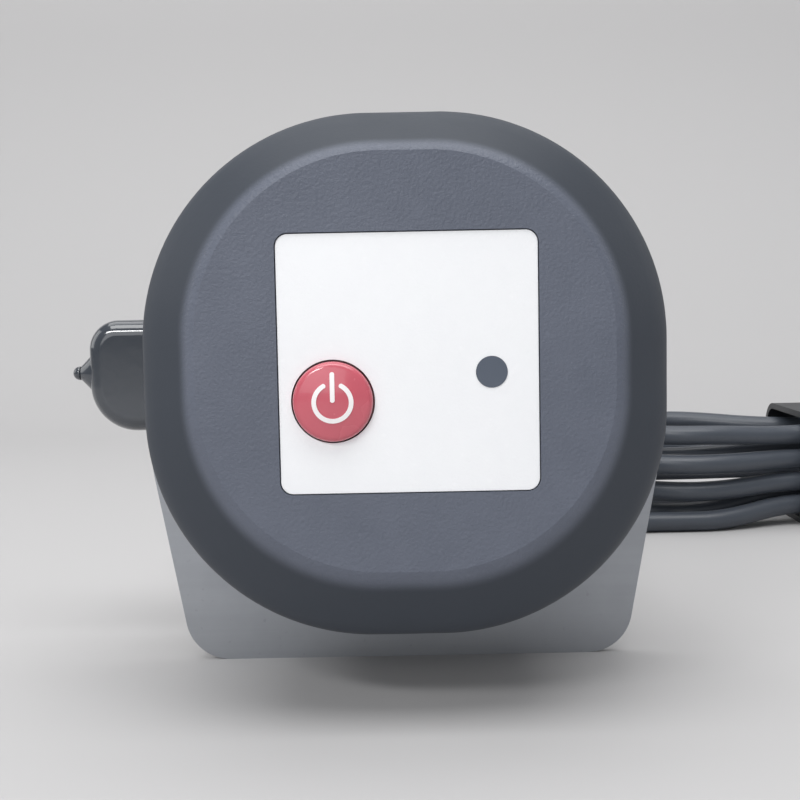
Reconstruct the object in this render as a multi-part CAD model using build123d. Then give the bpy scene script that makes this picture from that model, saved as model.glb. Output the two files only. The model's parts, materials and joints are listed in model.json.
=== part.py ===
from build123d import *
import os
from math import acos, cos, hypot, pi, radians, sin, sqrt, tan

# A motorised controller that turns the lever of a half-inch ball valve.
# Millimetres. X is to the right, Y goes back from the label, Z is up. The origin is the
# centre of the bracket's foot, on the surface that it stands on.

# Bracket: a flat front plate, and a foot with a rear upstand bent from one sheet and
# welded to the plate's back
sheet_thickness = 2.0
bracket_depth = 74.0
bend_inner_radius = 2.0
foot_width = 70.0
weld_leg = 1.8
weld_length = 14.0
weld_spread = 24.0
plate_bottom_half = 44.2
plate_wide_half = 52.0
plate_wide_height = 43.0
plate_shoulder_half = 46.0
plate_shoulder_height = 72.0
plate_top_half = 28.0
plate_height = 88.0
plate_corner_radius = 9.0
plate_wide_radius = 25.0
plate_shoulder_radius = 12.0
upstand_height = 80.0
upstand_top_width = 58.0
upstand_taper_height = 18.0
upstand_corner_radius = 8.0
bracket_hole_radius = 2.2
bracket_screw_head_height = 0.95
bracket_screw_spread_x = 15.0
bracket_screw_spread_z = 20.0
bracket_screw_socket_flats = 2.5
bracket_screw_socket_depth = 1.8

# Housing: cap in front, shell behind
cap_inner_size = 85.0
cap_corner_radius = 39.0
cap_face_corner_radius = 30.5
cap_rim_inset = 10.4
cap_rim_depth = 12.0
cap_face_rise = 3.0
cap_wall = 2.5
cap_front_wall = 2.8
cap_centre_height = 60.0
housing_depth = 50.0
shell_depth = 14.0
shell_inset = 1.0
shell_wall = 2.5
shell_floor = 3.0
shell_edge_radius = 2.0
gasket_thickness = 0.8
gasket_inset = 0.4
lip_height = 3.0
lip_thickness = 1.3
lip_clearance = 0.3
boss_radius = 3.5
boss_front_depth = 8.0
boss_spread = 29.0
boss_pilot_depth = 15.0
housing_screw_radius = 1.5
housing_screw_head_radius = 2.8
housing_screw_head_height = 1.6
housing_screw_slot_length = 3.4
screw_slot_width = 0.8
screw_slot_depth = 1.0
screw_clearance = 0.2
fit_gap = 0.02
running_gap = 0.05
free_gap = 0.3
cut_over = 1.0

# Label, button and indicator, measured from the centre of the cap
label_size = 42.7
label_corner_radius = 2.0
label_thickness = 0.5
label_recess = 0.8
label_margin = 0.2
label_across = 0.5
label_up = 3.1
button_across = -12.0
button_up = -3.0
button_radius = 6.6
button_proud = 1.3
button_dome_height = 0.9
button_edge_radius = 1.1
button_flange_radius = 8.2
button_flange_thickness = 1.0
button_rest_gap = 0.1
button_travel = 1.2
button_post_radius = 1.5
symbol_ring_radius = 3.05
symbol_stroke = 0.76
symbol_bar_length = 4.95
symbol_opening_width = 2.9
symbol_thickness = 0.12
lens_across = 14.15
lens_up = 1.4
lens_radius = 2.6
lens_flange_radius = 3.6
lens_flange_thickness = 1.0
lens_proud = 0.1

# Control board
board_width = 62.0
board_height = 44.0
board_thickness = 1.6
board_corner_radius = 3.0
pillar_length = 6.0
pillar_radius = 2.6
pillar_inset = 4.5
board_screw_radius = 1.2
board_screw_head_radius = 2.2
board_screw_head_height = 1.4
board_screw_length = 5.0
small_screw_slot_length = 2.8
switch_size = 6.0
switch_height = 3.5
spring_radius = 5.6
spring_wire_radius = 0.25
spring_turns = 4
radio_width = 18.0
radio_height = 12.0
radio_depth = 2.4
radio_across = 4.0
radio_up = 14.0
terminal_width = 12.0
terminal_height = 9.0
terminal_depth = 8.0
terminal_across = 18.0
terminal_up = -14.0
capacitor_radius = 3.2
capacitor_length = 7.0
capacitor_across = 24.0
capacitor_up = 10.0
led_size = 2.2
led_height = 1.6

# Gear train, from the output shaft back to the motor
axis_drop = 2.6
gearbox_boss_height = 2.0
gearbox_plate_thickness = 1.5
gear_space = 13.0
gearbox_half_width = 25.0
gearbox_bottom_drop = 23.0
gearbox_top_rise = 39.6
gearbox_corner_radius = 4.0
gearbox_pillar_radius = 2.5
gearbox_screw_radius = 1.2
gearbox_screw_head_radius = 2.2
gearbox_screw_head_height = 1.4
pillar_half_spread_bottom = 21.5
pillar_half_spread_top = 22.0
pillar_drop_bottom = 19.0
pillar_rise_top = 35.6
pressure_angle = 25.0
addendum_share = 0.8
dedendum_share = 1.05
tooth_thinning = 0.06
wheel_teeth = 40
pinion_teeth = 12
output_module = 1.0
train_module = 0.6
output_gear_width = 5.0
output_gear_start = 0.5
second_pinion_width = 5.7
second_pinion_start = 0.3
second_gear_width = 2.5
first_pinion_width = 3.3
first_gear_width = 2.5
motor_pinion_width = 3.2
second_stage_angle = 60.0
first_stage_angle = 180.0
motor_angle = 215.0
first_axle_radius = 1.5
second_axle_radius = 2.0
output_hole_count = 5
output_hole_radius = 3.2
output_hole_circle = 12.5
gearhead_radius = 12.0
gearhead_length = 6.0
motor_radius = 11.5
motor_length = 10.0
motor_edge_radius = 1.0
gearhead_shaft_radius = 1.5
shaft_radius = 5.0
shaft_nose_radius = 4.0
bush_radius = 7.0
bush_length = 3.9
seal_radius = 8.0
seal_length = 3.4
spigot_radius = 12.0
centre_boss_radius = 10.5
cam_radius = 7.0
cam_lobe_radius = 9.2
cam_lobe_width = 7.0
cam_thickness = 3.0
cam_standoff = 1.0
limit_length = 12.8
limit_height = 6.5
limit_depth = 5.8
limit_plunger_radius = 0.9
limit_plunger_length = 1.2
open_switch_direction = -45.0
closed_switch_direction = -135.0

# Fork that carries the lever round
fork_standoff = 0.8
hub_radius = 10.0
hub_length = 10.4
arm_offset = 4.0
arm_thickness = 4.0
arm_width = 16.0
finger_reach = 28.0
crossbar_width = 11.0
crossbar_overhang = 5.5
crossbar_radius = 4.0
finger_bolt_radius = 3.0
finger_bolt_length = 19.0
finger_head_flats = 10.0
finger_head_height = 3.0
sleeve_radius = 4.5
set_screw_radius = 2.0
set_screw_length = 4.8
set_screw_socket_flats = 2.0
set_screw_socket_depth = 2.2

# Valve
valve_offset = 56.0
port_radius = 9.32
port_depth = 13.0
valve_half_length = 28.0
bore_radius = 7.5
hex_flats = 26.0
hex_length = 8.0
seat_cylinder_radius = 12.0
seat_cylinder_length = 8.0
barrel_radius = 16.0
barrel_edge = 3.0
cavity_radius = 12.5
cavity_half_length = 10.0
barrel_end_wall = 2.0
ball_radius = 11.0
ball_seat_depth = 3.2
stem_radius = 4.0
stem_slot_width = 4.0
stem_slot_depth = 3.0
neck_radius = 9.0
neck_rise = 7.0
packing_radius = 6.4
packing_length = 5.0
gland_flats = 17.0
gland_height = 6.0
gland_edge = 0.8
lever_thickness = 2.5
lever_width = 16.0
lever_eye_radius = 10.0
lever_reach = 64.0
lever_clear = 4.5
lever_nut_flats = 13.0
lever_nut_height = 5.0
lever_nut_edge = 0.6
stem_end_proud = 0.4
grip_start = 35.5
grip_end = 67.8
grip_width = 24.0
grip_thickness = 9.0
grip_upper_corner_radius = 6.4
grip_lower_corner_radius = 10.0
grip_edge_radius = 3.2
nub_up = 0.6
nub_sunk = 1.4
nub_base_half_width = 5.6
nub_base_half_depth = 3.4
nub_neck_length = 1.6
nub_neck_half_width = 2.2
nub_neck_half_depth = 1.9
nub_length = 2.6
nub_end_radius = 1.2
nub_tip_radius = 1.5

# Clamps that hold the valve to the upstand
clamp_rod_radius = 2.5
clamp_leg_proud = 11.0
clamp_hole_clearance = 0.25
saddle_width = 8.0
saddle_side_gap = 0.4
washer_radius = 5.6
washer_thickness = 1.0
wing_hub_radius = 4.6
wing_hub_height = 6.5
wing_root_height = 2.2
wing_span = 19.0
wing_height = 9.0
wing_thickness = 2.4

# Lead
cord_diameter = 6.0
gland_x = 33.0
gland_drop = 12.0
gland_hole_radius = 5.4
gland_flange_radius = 7.0
gland_flange_thickness = 1.5
gland_length = 12.0
gland_tip_radius = 4.0
gland_groove_count = 4
gland_groove_start = 2.4
gland_groove_pitch = 2.3
gland_groove_width = 1.1
gland_groove_radius = 3.6
bend_share = 0.45
gap_search_diameters = 4
same_place = 1e-6
hank_x = 127.0
hank_y = 117.0
hank_half_length = 57.0
fold_radius = 18.0
waist_half = 9.5
loop_step = 8.2
waist_step = 8.6
layer_step = 6.9
fold_layer_step = 8.6
waist_lift = 3.5
end_lift = 1.6
end_rise_run = 28.0
plug_lie = 0.4
layer_count = 4
half_turns_per_layer = 3
shoulder_share = 0.2
waist_share = 0.5
tie_width = 10.0
tie_thickness = 1.8
tie_gap = 0.9
tie_corner_radius = 7.0
plug_radius = 5.2
plug_length = 26.0
plug_neck_radius = 3.6
plug_neck_length = 10.0
plug_rib_count = 3
plug_rib_start = 1.6
plug_rib_pitch = 2.8
plug_rib_width = 1.5
plug_rib_radius = 4.4
plug_edge_radius = 1.2
plug_barrel_radius = 2.75
plug_barrel_bore = 1.05
plug_barrel_length = 9.5

# Places along Y, worked out from the sizes above
plate_front = -bracket_depth / 2
plate_back = plate_front + sheet_thickness
upstand_back = bracket_depth / 2
upstand_front = upstand_back - sheet_thickness
bend_outer_radius = bend_inner_radius + sheet_thickness
shell_rim = plate_front - shell_depth
cap_rear = shell_rim - gasket_thickness
cap_front = plate_front - housing_depth
cap_inner_front = cap_front + cap_front_wall
shell_inner = plate_front - shell_floor
gearbox_rear_back = shell_inner - gearbox_boss_height
gearbox_rear_front = gearbox_rear_back - gearbox_plate_thickness
gearbox_front_back = gearbox_rear_front - gear_space
gearbox_front_front = gearbox_front_back - gearbox_plate_thickness
board_front = cap_inner_front + pillar_length
board_back = board_front + board_thickness
label_back = cap_front + label_recess
label_front = label_back - label_thickness
axis_height = cap_centre_height - axis_drop
valve_y = plate_front + valve_offset
cap_size = cap_inner_size + 2 * cap_wall
cap_inner_corner = cap_corner_radius - cap_wall
shell_size = cap_size - 2 * shell_inset
shell_corner_radius = cap_corner_radius - shell_inset
pillar_spread_x = board_width / 2 - pillar_inset
pillar_spread_z = board_height / 2 - pillar_inset
gland_z = cap_centre_height - gland_drop
button_x = button_across
button_z = cap_centre_height + button_up
lens_x = lens_across
lens_z = cap_centre_height + lens_up


def slab(sketch, y_back, y_front):
    """A sketch drawn in X and Z, made solid from y_back forward to y_front."""
    plane = Plane(origin=(0, y_back, 0), x_dir=(1, 0, 0), z_dir=(0, -1, 0))
    return extrude(plane * sketch, amount=y_back - y_front)


def disc(x, z, y_back, y_front, radius):
    """A round bar along Y."""
    return slab(Pos(x, z) * Circle(radius), y_back, y_front)


def ring(x, z, y_back, y_front, outer, inner):
    """A tube along Y."""
    return slab(Pos(x, z) * (Circle(outer) - Circle(inner)), y_back, y_front)


def hexagon(x, z, y_back, y_front, flats):
    """A hexagonal bar along Y, measured across its flats."""
    return slab(Pos(x, z) * RegularPolygon(flats / 2, 6, major_radius=False), y_back, y_front)


def bar_x(sketch, x_left, x_right):
    """A sketch in the valve's cross-section, made solid along X."""
    plane = Plane(origin=(x_left, valve_y, axis_height), x_dir=(0, 1, 0), z_dir=(1, 0, 0))
    return extrude(plane * sketch, amount=x_right - x_left)


def block(x_low, x_high, y_low, y_high, z_low, z_high):
    """A box between two corners."""
    centre = Pos((x_low + x_high) / 2, (y_low + y_high) / 2, (z_low + z_high) / 2)
    return centre * Box(x_high - x_low, y_high - y_low, z_high - z_low)


def rounded_square(size, corner, centre_z=cap_centre_height):
    """The outline of the housing at a given size."""
    return Pos(0, centre_z) * RectangleRounded(size, size, corner)


def cross_slot(x, z, y_back, y_front, length):
    """The cross that a screwdriver fits, to cut from a screw's head."""
    across = slab(Pos(x, z) * Rectangle(length, screw_slot_width), y_back, y_front)
    upright = slab(Pos(x, z) * Rectangle(screw_slot_width, length), y_back, y_front)
    return across + upright


def join(solids):
    """One shape made of solids that touch or overlap."""
    whole = solids[0]
    for solid in solids[1:]:
        whole = whole + solid
    return whole


def group(solids):
    """Alike pieces that share one node and stay separate solids."""
    return Compound(children=list(solids))


def four_corners(half_x, half_z, centre_z):
    """Four places set evenly about a centre."""
    return [(sx * half_x, centre_z + sz * half_z) for sx in (-1, 1) for sz in (-1, 1)]


# Gears
def gear_face(teeth, module, turned_degrees):
    """A spur gear's outline with arcs for its involute flanks."""
    pitch = module * teeth / 2
    base = pitch * cos(radians(pressure_angle))
    tip = pitch + addendum_share * module
    root = pitch - dedendum_share * module
    start = max(base, root)
    middle = (start + tip) / 2
    involute = tan(radians(pressure_angle)) - radians(pressure_angle)
    half_at_pitch = pi / (2 * teeth) - tooth_thinning / (2 * pitch)

    def flank(radius):
        angle = acos(min(base / radius, 1))
        return half_at_pitch + involute - (tan(angle) - angle)

    def point(radius, angle):
        return (radius * cos(angle), radius * sin(angle))

    edges = []
    step = 2 * pi / teeth
    for index in range(teeth):
        centre = radians(turned_degrees) + index * step
        low = centre - flank(start)
        high = centre + flank(start)
        if root < base:
            edges.append(Line(point(root, low), point(start, low)))
        edges.append(ThreePointArc(
            point(start, low), point(middle, centre - flank(middle)), point(tip, centre - flank(tip))))
        edges.append(ThreePointArc(
            point(tip, centre - flank(tip)), point(tip, centre), point(tip, centre + flank(tip))))
        edges.append(ThreePointArc(
            point(tip, centre + flank(tip)), point(middle, centre + flank(middle)), point(start, high)))
        if root < base:
            edges.append(Line(point(start, high), point(root, high)))
        following = low + step
        edges.append(ThreePointArc(
            point(root, high), point(root, (high + following) / 2), point(root, following)))
    return make_face(edges)


def gear(teeth, module, place, y_back, y_front, bore, turned_degrees):
    """A spur gear on an axis along Y."""
    x, z = place
    wheel = slab(Pos(x, z) * gear_face(teeth, module, turned_degrees), y_back, y_front)
    return wheel - disc(x, z, y_back + cut_over, y_front - cut_over, bore)


def meshing_turn(teeth, turned, other_teeth, direction):
    """The turn that puts the other gear's tooth space on this gear's tooth."""
    phase = (direction - turned) * teeth / other_teeth
    return direction + 180 + 180 / other_teeth + phase


def placed_from(place, distance, direction):
    """A place at a distance and an angle from another, in X and Z."""
    return (
        place[0] + distance * cos(radians(direction)),
        place[1] + distance * sin(radians(direction)),
    )


output_place = (0, axis_height)
output_distance = output_module * (wheel_teeth + pinion_teeth) / 2
train_distance = train_module * (wheel_teeth + pinion_teeth) / 2
second_place = placed_from(output_place, output_distance, second_stage_angle)
first_place = placed_from(second_place, train_distance, first_stage_angle)
motor_place = placed_from(first_place, train_distance, motor_angle)

output_turn = 0
second_pinion_turn = meshing_turn(wheel_teeth, output_turn, pinion_teeth, second_stage_angle)
second_gear_turn = second_pinion_turn
first_pinion_turn = meshing_turn(wheel_teeth, second_gear_turn, pinion_teeth, first_stage_angle)
first_gear_turn = first_pinion_turn
motor_pinion_turn = meshing_turn(wheel_teeth, first_gear_turn, pinion_teeth, motor_angle)


# Housing
boss_places = four_corners(boss_spread, boss_spread, cap_centre_height)
pillar_places = four_corners(pillar_spread_x, pillar_spread_z, cap_centre_height)
bracket_screw_places = four_corners(bracket_screw_spread_x, bracket_screw_spread_z, axis_height)
gearbox_pillar_places = [
    (-pillar_half_spread_bottom, axis_height - pillar_drop_bottom),
    (pillar_half_spread_bottom, axis_height - pillar_drop_bottom),
    (-pillar_half_spread_top, axis_height + pillar_rise_top),
    (pillar_half_spread_top, axis_height + pillar_rise_top),
]

# The rim's section, from the side wall to the flat face: shares of its inset and its depth
rim_section_shares = (
    (0.0, 1.0), (0.016, 0.85), (0.074, 0.7), (0.18, 0.567), (0.32, 0.45), (0.49, 0.329),
    (0.66, 0.208), (0.787, 0.118), (0.872, 0.058), (0.947, 0.018), (1.0, 0.0),
)


def rimmed_block(size, corner, y_back, y_front):
    """A rounded square block whose front slopes in to a flat face set a little high."""
    sections = []
    for inset_share, depth_share in rim_section_shares:
        width = size - 2 * cap_rim_inset * inset_share
        radius = corner - (cap_corner_radius - cap_face_corner_radius) * inset_share
        y = y_front + cap_rim_depth * depth_share
        plane = Plane(origin=(0, y, 0), x_dir=(1, 0, 0), z_dir=(0, -1, 0))
        centre_z = cap_centre_height + cap_face_rise * inset_share
        sections.append(plane * rounded_square(width, radius, centre_z))
    return loft(sections) + slab(rounded_square(size, corner), y_back, y_front + cap_rim_depth)


def make_front_cap():
    body = rimmed_block(cap_size, cap_corner_radius, cap_rear, cap_front)
    body = body - rimmed_block(
        cap_inner_size, cap_inner_corner, cap_rear + cut_over, cap_inner_front)
    boss_front = cap_front + boss_front_depth
    bosses = [disc(x, z, cap_rear, boss_front, boss_radius) for x, z in boss_places]
    pillars = [
        disc(x, z, board_front, cap_inner_front - free_gap, pillar_radius) for x, z in pillar_places]
    body = join([body] + bosses + pillars)
    for x, z in boss_places:
        body = body - disc(
            x, z, cap_rear + cut_over, cap_rear - boss_pilot_depth, housing_screw_radius + fit_gap)
    for x, z in pillar_places:
        body = body - disc(
            x, z, board_front + cut_over, board_front - board_screw_length,
            board_screw_radius + fit_gap)
    recess_size = label_size + 2 * label_margin
    recess = Pos(label_across, cap_centre_height + label_up) * RectangleRounded(
        recess_size, recess_size, label_corner_radius + label_margin)
    body = body - slab(recess, label_back, cap_front - cut_over)
    body = body - disc(
        button_x, button_z, cap_inner_front + cut_over, cap_front - cut_over,
        button_radius + free_gap)
    body = body - disc(
        lens_x, lens_z, cap_inner_front + cut_over, cap_front - cut_over, lens_radius + fit_gap)
    return body


def make_rear_shell():
    body = slab(rounded_square(shell_size, shell_corner_radius), plate_front, shell_rim)
    back_edges = body.faces().sort_by(Axis.Y)[-1].edges()
    body = fillet(back_edges, shell_edge_radius)
    body = body - slab(
        rounded_square(shell_size - 2 * shell_wall, shell_corner_radius - shell_wall),
        shell_inner, shell_rim - cut_over)
    lip_outer = cap_inner_size - 2 * lip_clearance
    lip_corner = cap_inner_corner - lip_clearance
    lip_inner = lip_outer - 2 * lip_thickness
    lip = slab(
        rounded_square(lip_outer, lip_corner)
        - rounded_square(lip_inner, lip_corner - lip_thickness),
        shell_rim + lip_height, shell_rim - lip_height)
    bosses = [disc(x, z, shell_inner, shell_rim, boss_radius) for x, z in boss_places]
    mounts = [
        disc(x, z, shell_inner, gearbox_rear_back, boss_radius) for x, z in gearbox_pillar_places]
    centre = disc(0, axis_height, plate_back, gearbox_rear_back, centre_boss_radius)
    spigot = disc(0, axis_height, plate_back, plate_front, spigot_radius)
    screw_pads = [
        disc(x, z, shell_inner, gearbox_rear_back, boss_radius) for x, z in bracket_screw_places]
    body = join([body, lip] + bosses + mounts + [centre, spigot] + screw_pads)
    for x, z in boss_places:
        body = body - disc(
            x, z, plate_front + cut_over, shell_rim - lip_height - cut_over,
            housing_screw_radius + screw_clearance)
        body = body - disc(
            x, z, plate_front + cut_over, plate_front - housing_screw_head_height - screw_clearance,
            housing_screw_head_radius + screw_clearance)
        body = body - disc(
            x, z, shell_rim, shell_rim - lip_height - cut_over, boss_radius + lip_clearance)
    for x, z in gearbox_pillar_places:
        body = body - disc(
            x, z, shell_inner + gearbox_boss_height, gearbox_rear_back - cut_over,
            gearbox_screw_radius + fit_gap)
    for x, z in bracket_screw_places:
        body = body - disc(
            x, z, plate_front + cut_over, gearbox_rear_back - cut_over, bracket_hole_radius)
    body = body - disc(
        0, axis_height, plate_back + cut_over, gearbox_rear_back - cut_over, bush_radius + fit_gap)
    seal_pocket_front = plate_back - free_gap - seal_length
    body = body - disc(
        0, axis_height, plate_back + cut_over, seal_pocket_front, seal_radius + fit_gap)
    body = body - disc(
        gland_x, gland_z, plate_front + cut_over, shell_inner - cut_over, gland_hole_radius + fit_gap)
    return body


def make_gasket():
    outer = shell_size - 2 * gasket_inset
    outer_corner = shell_corner_radius - gasket_inset
    inner = cap_inner_size + 2 * gasket_inset
    inner_corner = cap_inner_corner + gasket_inset
    return slab(
        rounded_square(outer, outer_corner) - rounded_square(inner, inner_corner),
        shell_rim, cap_rear)


def make_housing_screws():
    head_back = plate_front - screw_clearance
    head_front = head_back - housing_screw_head_height
    tip = cap_rear - boss_pilot_depth + screw_clearance
    screws = []
    for x, z in boss_places:
        head = disc(x, z, head_back, head_front, housing_screw_head_radius)
        shank = disc(x, z, head_front, tip, housing_screw_radius)
        slot = cross_slot(
            x, z, head_back + cut_over, head_back - screw_slot_depth, housing_screw_slot_length)
        screws.append(head + shank - slot)
    return group(screws)


def make_label_plate():
    face = Pos(label_across, cap_centre_height + label_up) * RectangleRounded(
        label_size, label_size, label_corner_radius)
    body = slab(face, label_back, label_front)
    body = body - disc(
        button_x, button_z, label_back + cut_over, label_front - cut_over, button_radius + free_gap)
    return body - disc(
        lens_x, lens_z, label_back + cut_over, label_front - cut_over, lens_radius + fit_gap)


def make_button():
    rim = label_front - button_proud
    flange_front = cap_inner_front + button_rest_gap
    flange_back = flange_front + button_flange_thickness
    post_back = board_front - switch_height - button_travel - button_rest_gap
    body = disc(button_x, button_z, flange_back, rim, button_radius) + make_button_dome(rim)
    rim_edges = body.edges().filter_by(GeomType.CIRCLE).sort_by(Axis.Y)[:1]
    body = fillet(rim_edges, button_edge_radius)
    flange = disc(button_x, button_z, flange_back, flange_front, button_flange_radius)
    post = disc(button_x, button_z, post_back, flange_back, button_post_radius)
    return join([body, flange, post])


def make_button_dome(rim):
    """The crowned front of the button, from its rim forward."""
    sphere_radius = (button_radius ** 2 + button_dome_height ** 2) / (2 * button_dome_height)
    centre_y = rim - button_dome_height + sphere_radius
    ball = Pos(button_x, centre_y, button_z) * Sphere(sphere_radius)
    keep = disc(button_x, button_z, rim, rim - 2 * button_dome_height, button_radius)
    return ball & keep


def make_button_symbol():
    rim = label_front - button_proud
    outline = Circle(symbol_ring_radius + symbol_stroke / 2) - Circle(
        symbol_ring_radius - symbol_stroke / 2)
    opening = Pos(0, symbol_ring_radius) * Rectangle(symbol_opening_width, symbol_ring_radius)
    end_x = symbol_opening_width / 2
    end_z = sqrt(symbol_ring_radius ** 2 - end_x ** 2)
    ends = Pos(-end_x, end_z) * Circle(symbol_stroke / 2) + Pos(end_x, end_z) * Circle(
        symbol_stroke / 2)
    bar = Pos(0, symbol_bar_length / 2) * RectangleRounded(
        symbol_stroke, symbol_bar_length, symbol_stroke / 2 - fit_gap)
    outline = outline - opening + ends + bar
    column = slab(Pos(button_x, button_z) * outline, rim, rim - 2 * button_dome_height)
    dome = make_button_dome(rim)
    raised = Pos(0, -symbol_thickness, 0) * dome
    return (column & raised) - dome


def make_button_spring():
    start = cap_inner_front + button_rest_gap + button_flange_thickness + spring_wire_radius
    finish = board_front - spring_wire_radius
    height = finish - start
    plane = Plane(origin=(button_x, start, button_z), x_dir=(1, 0, 0), z_dir=(0, 1, 0))
    path = plane * Helix(height / spring_turns, height, spring_radius)
    section = Plane(origin=path @ 0, z_dir=path % 0) * Circle(spring_wire_radius)
    return sweep(section, path=path, is_frenet=True)


def make_lens():
    front = label_front - lens_proud
    flange_front = cap_inner_front
    body = disc(lens_x, lens_z, flange_front + lens_flange_thickness, front, lens_radius)
    flange = disc(
        lens_x, lens_z, flange_front + lens_flange_thickness, flange_front, lens_flange_radius)
    return body + flange


def make_board():
    face = Pos(0, cap_centre_height) * RectangleRounded(
        board_width, board_height, board_corner_radius)
    body = slab(face, board_back, board_front)
    for x, z in pillar_places:
        body = body - disc(
            x, z, board_back + cut_over, board_front - cut_over, board_screw_radius + screw_clearance)
    return body


def centred_block(x, z, width, height, y_low, y_high):
    """A box centred on a place in X and Z."""
    return block(x - width / 2, x + width / 2, y_low, y_high, z - height / 2, z + height / 2)


def make_board_nodes():
    switch = centred_block(
        button_x, button_z, switch_size, switch_size, board_front - switch_height, board_front)
    radio = centred_block(
        radio_across, cap_centre_height + radio_up, radio_width, radio_height,
        board_front - radio_depth, board_front)
    terminal = centred_block(
        terminal_across, cap_centre_height + terminal_up, terminal_width, terminal_height,
        board_back, board_back + terminal_depth)
    led = centred_block(lens_x, lens_z, led_size, led_size, board_front - led_height, board_front)
    capacitor = disc(
        capacitor_across, cap_centre_height + capacitor_up, board_back + capacitor_length,
        board_back, capacitor_radius)
    screws = []
    for x, z in pillar_places:
        head_back = board_back + board_screw_head_height
        head = disc(x, z, head_back, board_back, board_screw_head_radius)
        tip = board_front - board_screw_length + screw_clearance
        slot = cross_slot(
            x, z, head_back + cut_over, head_back - screw_slot_depth, small_screw_slot_length)
        screws.append(head + disc(x, z, board_back, tip, board_screw_radius) - slot)
    return {
        "control_board": make_board(),
        "tact_switch": switch,
        "radio_module": radio,
        "terminal_block": terminal,
        "board_parts": group([led, capacitor]),
        "board_screws": group(screws),
    }


# Gearbox
def gearbox_outline():
    low = axis_height - gearbox_bottom_drop
    high = axis_height + gearbox_top_rise
    return Pos(0, (low + high) / 2) * RectangleRounded(
        2 * gearbox_half_width, high - low, gearbox_corner_radius)


def make_gearbox_rear_plate():
    body = slab(gearbox_outline(), gearbox_rear_back, gearbox_rear_front)
    back = gearbox_rear_back + cut_over
    front = gearbox_rear_front - cut_over
    body = body - disc(0, axis_height, back, front, bush_radius + fit_gap)
    for x, z in gearbox_pillar_places:
        body = body - disc(x, z, back, front, gearbox_screw_radius + screw_clearance)
    body = body - disc(*first_place, back, front, first_axle_radius + fit_gap)
    return body - disc(*second_place, back, front, second_axle_radius + fit_gap)


def make_gearbox_front_plate():
    body = slab(gearbox_outline(), gearbox_front_back, gearbox_front_front)
    back = gearbox_front_back + cut_over
    front = gearbox_front_front - cut_over
    body = body - disc(0, axis_height, back, front, shaft_nose_radius + running_gap)
    for x, z in gearbox_pillar_places:
        body = body - disc(x, z, back, front, gearbox_screw_radius + screw_clearance)
    body = body - disc(*first_place, back, front, first_axle_radius + fit_gap)
    body = body - disc(*second_place, back, front, second_axle_radius + fit_gap)
    return body - disc(*motor_place, back, front, gearhead_shaft_radius + free_gap)


def make_gearbox_frame():
    pillars = [
        ring(x, z, gearbox_rear_front, gearbox_front_back, gearbox_pillar_radius,
             gearbox_screw_radius + screw_clearance)
        for x, z in gearbox_pillar_places]
    screws = []
    head_front = gearbox_front_front - gearbox_screw_head_height
    for x, z in gearbox_pillar_places:
        head = disc(x, z, gearbox_front_front, head_front, gearbox_screw_head_radius)
        shank = disc(x, z, shell_inner, gearbox_front_front, gearbox_screw_radius)
        slot = cross_slot(
            x, z, head_front + screw_slot_depth, head_front - cut_over, small_screw_slot_length)
        screws.append(head + shank - slot)
    return {
        "gearbox_rear_plate": make_gearbox_rear_plate(),
        "gearbox_front_plate": make_gearbox_front_plate(),
        "gearbox_pillars": group(pillars),
        "gearbox_screws": group(screws),
        "first_axle": disc(
            *first_place, gearbox_rear_back, gearbox_front_front, first_axle_radius),
        "second_axle": disc(
            *second_place, gearbox_rear_back, gearbox_front_front, second_axle_radius),
    }


def make_output_gear():
    back = gearbox_rear_front - output_gear_start
    front = back - output_gear_width
    body = gear(
        wheel_teeth, output_module, output_place, back, front, shaft_radius + fit_gap, output_turn)
    for index in range(output_hole_count):
        place = placed_from(output_place, output_hole_circle, index * 360 / output_hole_count)
        body = body - disc(*place, back + cut_over, front - cut_over, output_hole_radius)
    return body


def make_train():
    second_back = gearbox_rear_front - second_pinion_start
    second_step = second_back - second_pinion_width
    second_bore = second_axle_radius + running_gap
    second = join([
        gear(pinion_teeth, output_module, second_place, second_back, second_step,
             second_bore, second_pinion_turn),
        gear(wheel_teeth, train_module, second_place, second_step, second_step - second_gear_width,
             second_bore, second_gear_turn)])
    first_step = second_step - first_pinion_width
    first_bore = first_axle_radius + running_gap
    first = join([
        gear(pinion_teeth, train_module, first_place, second_step, first_step,
             first_bore, first_pinion_turn),
        gear(wheel_teeth, train_module, first_place, first_step, first_step - first_gear_width,
             first_bore, first_gear_turn)])
    pinion_front = gearbox_front_back + free_gap
    pinion_back = pinion_front + motor_pinion_width
    pinion = gear(
        pinion_teeth, train_module, motor_place, pinion_back, pinion_front,
        gearhead_shaft_radius + fit_gap, motor_pinion_turn)
    shaft_front = gearbox_front_front - gearhead_length / 2
    shaft = disc(*motor_place, pinion_back, shaft_front, gearhead_shaft_radius)
    gearhead = disc(
        *motor_place, gearbox_front_front, gearbox_front_front - gearhead_length, gearhead_radius)
    gearhead = gearhead - disc(
        *motor_place, gearbox_front_front + cut_over, shaft_front - running_gap,
        gearhead_shaft_radius + running_gap)
    motor_back = gearbox_front_front - gearhead_length
    motor = disc(*motor_place, motor_back, motor_back - motor_length, motor_radius)
    motor = fillet(motor.faces().sort_by(Axis.Y)[0].edges(), motor_edge_radius)
    return {
        "output_gear": make_output_gear(),
        "second_gear": second,
        "first_gear": first,
        "motor_pinion": pinion,
        "gearhead_shaft": shaft,
        "motor_gearhead": gearhead,
        "motor_body": motor,
    }


def make_output_shaft():
    step = gearbox_front_back + running_gap
    nose = gearbox_front_front - cam_standoff - cam_thickness - running_gap
    hub_back = plate_back + fork_standoff + hub_length
    return disc(0, axis_height, hub_back, step, shaft_radius) + disc(
        0, axis_height, step, nose, shaft_nose_radius)


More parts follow.
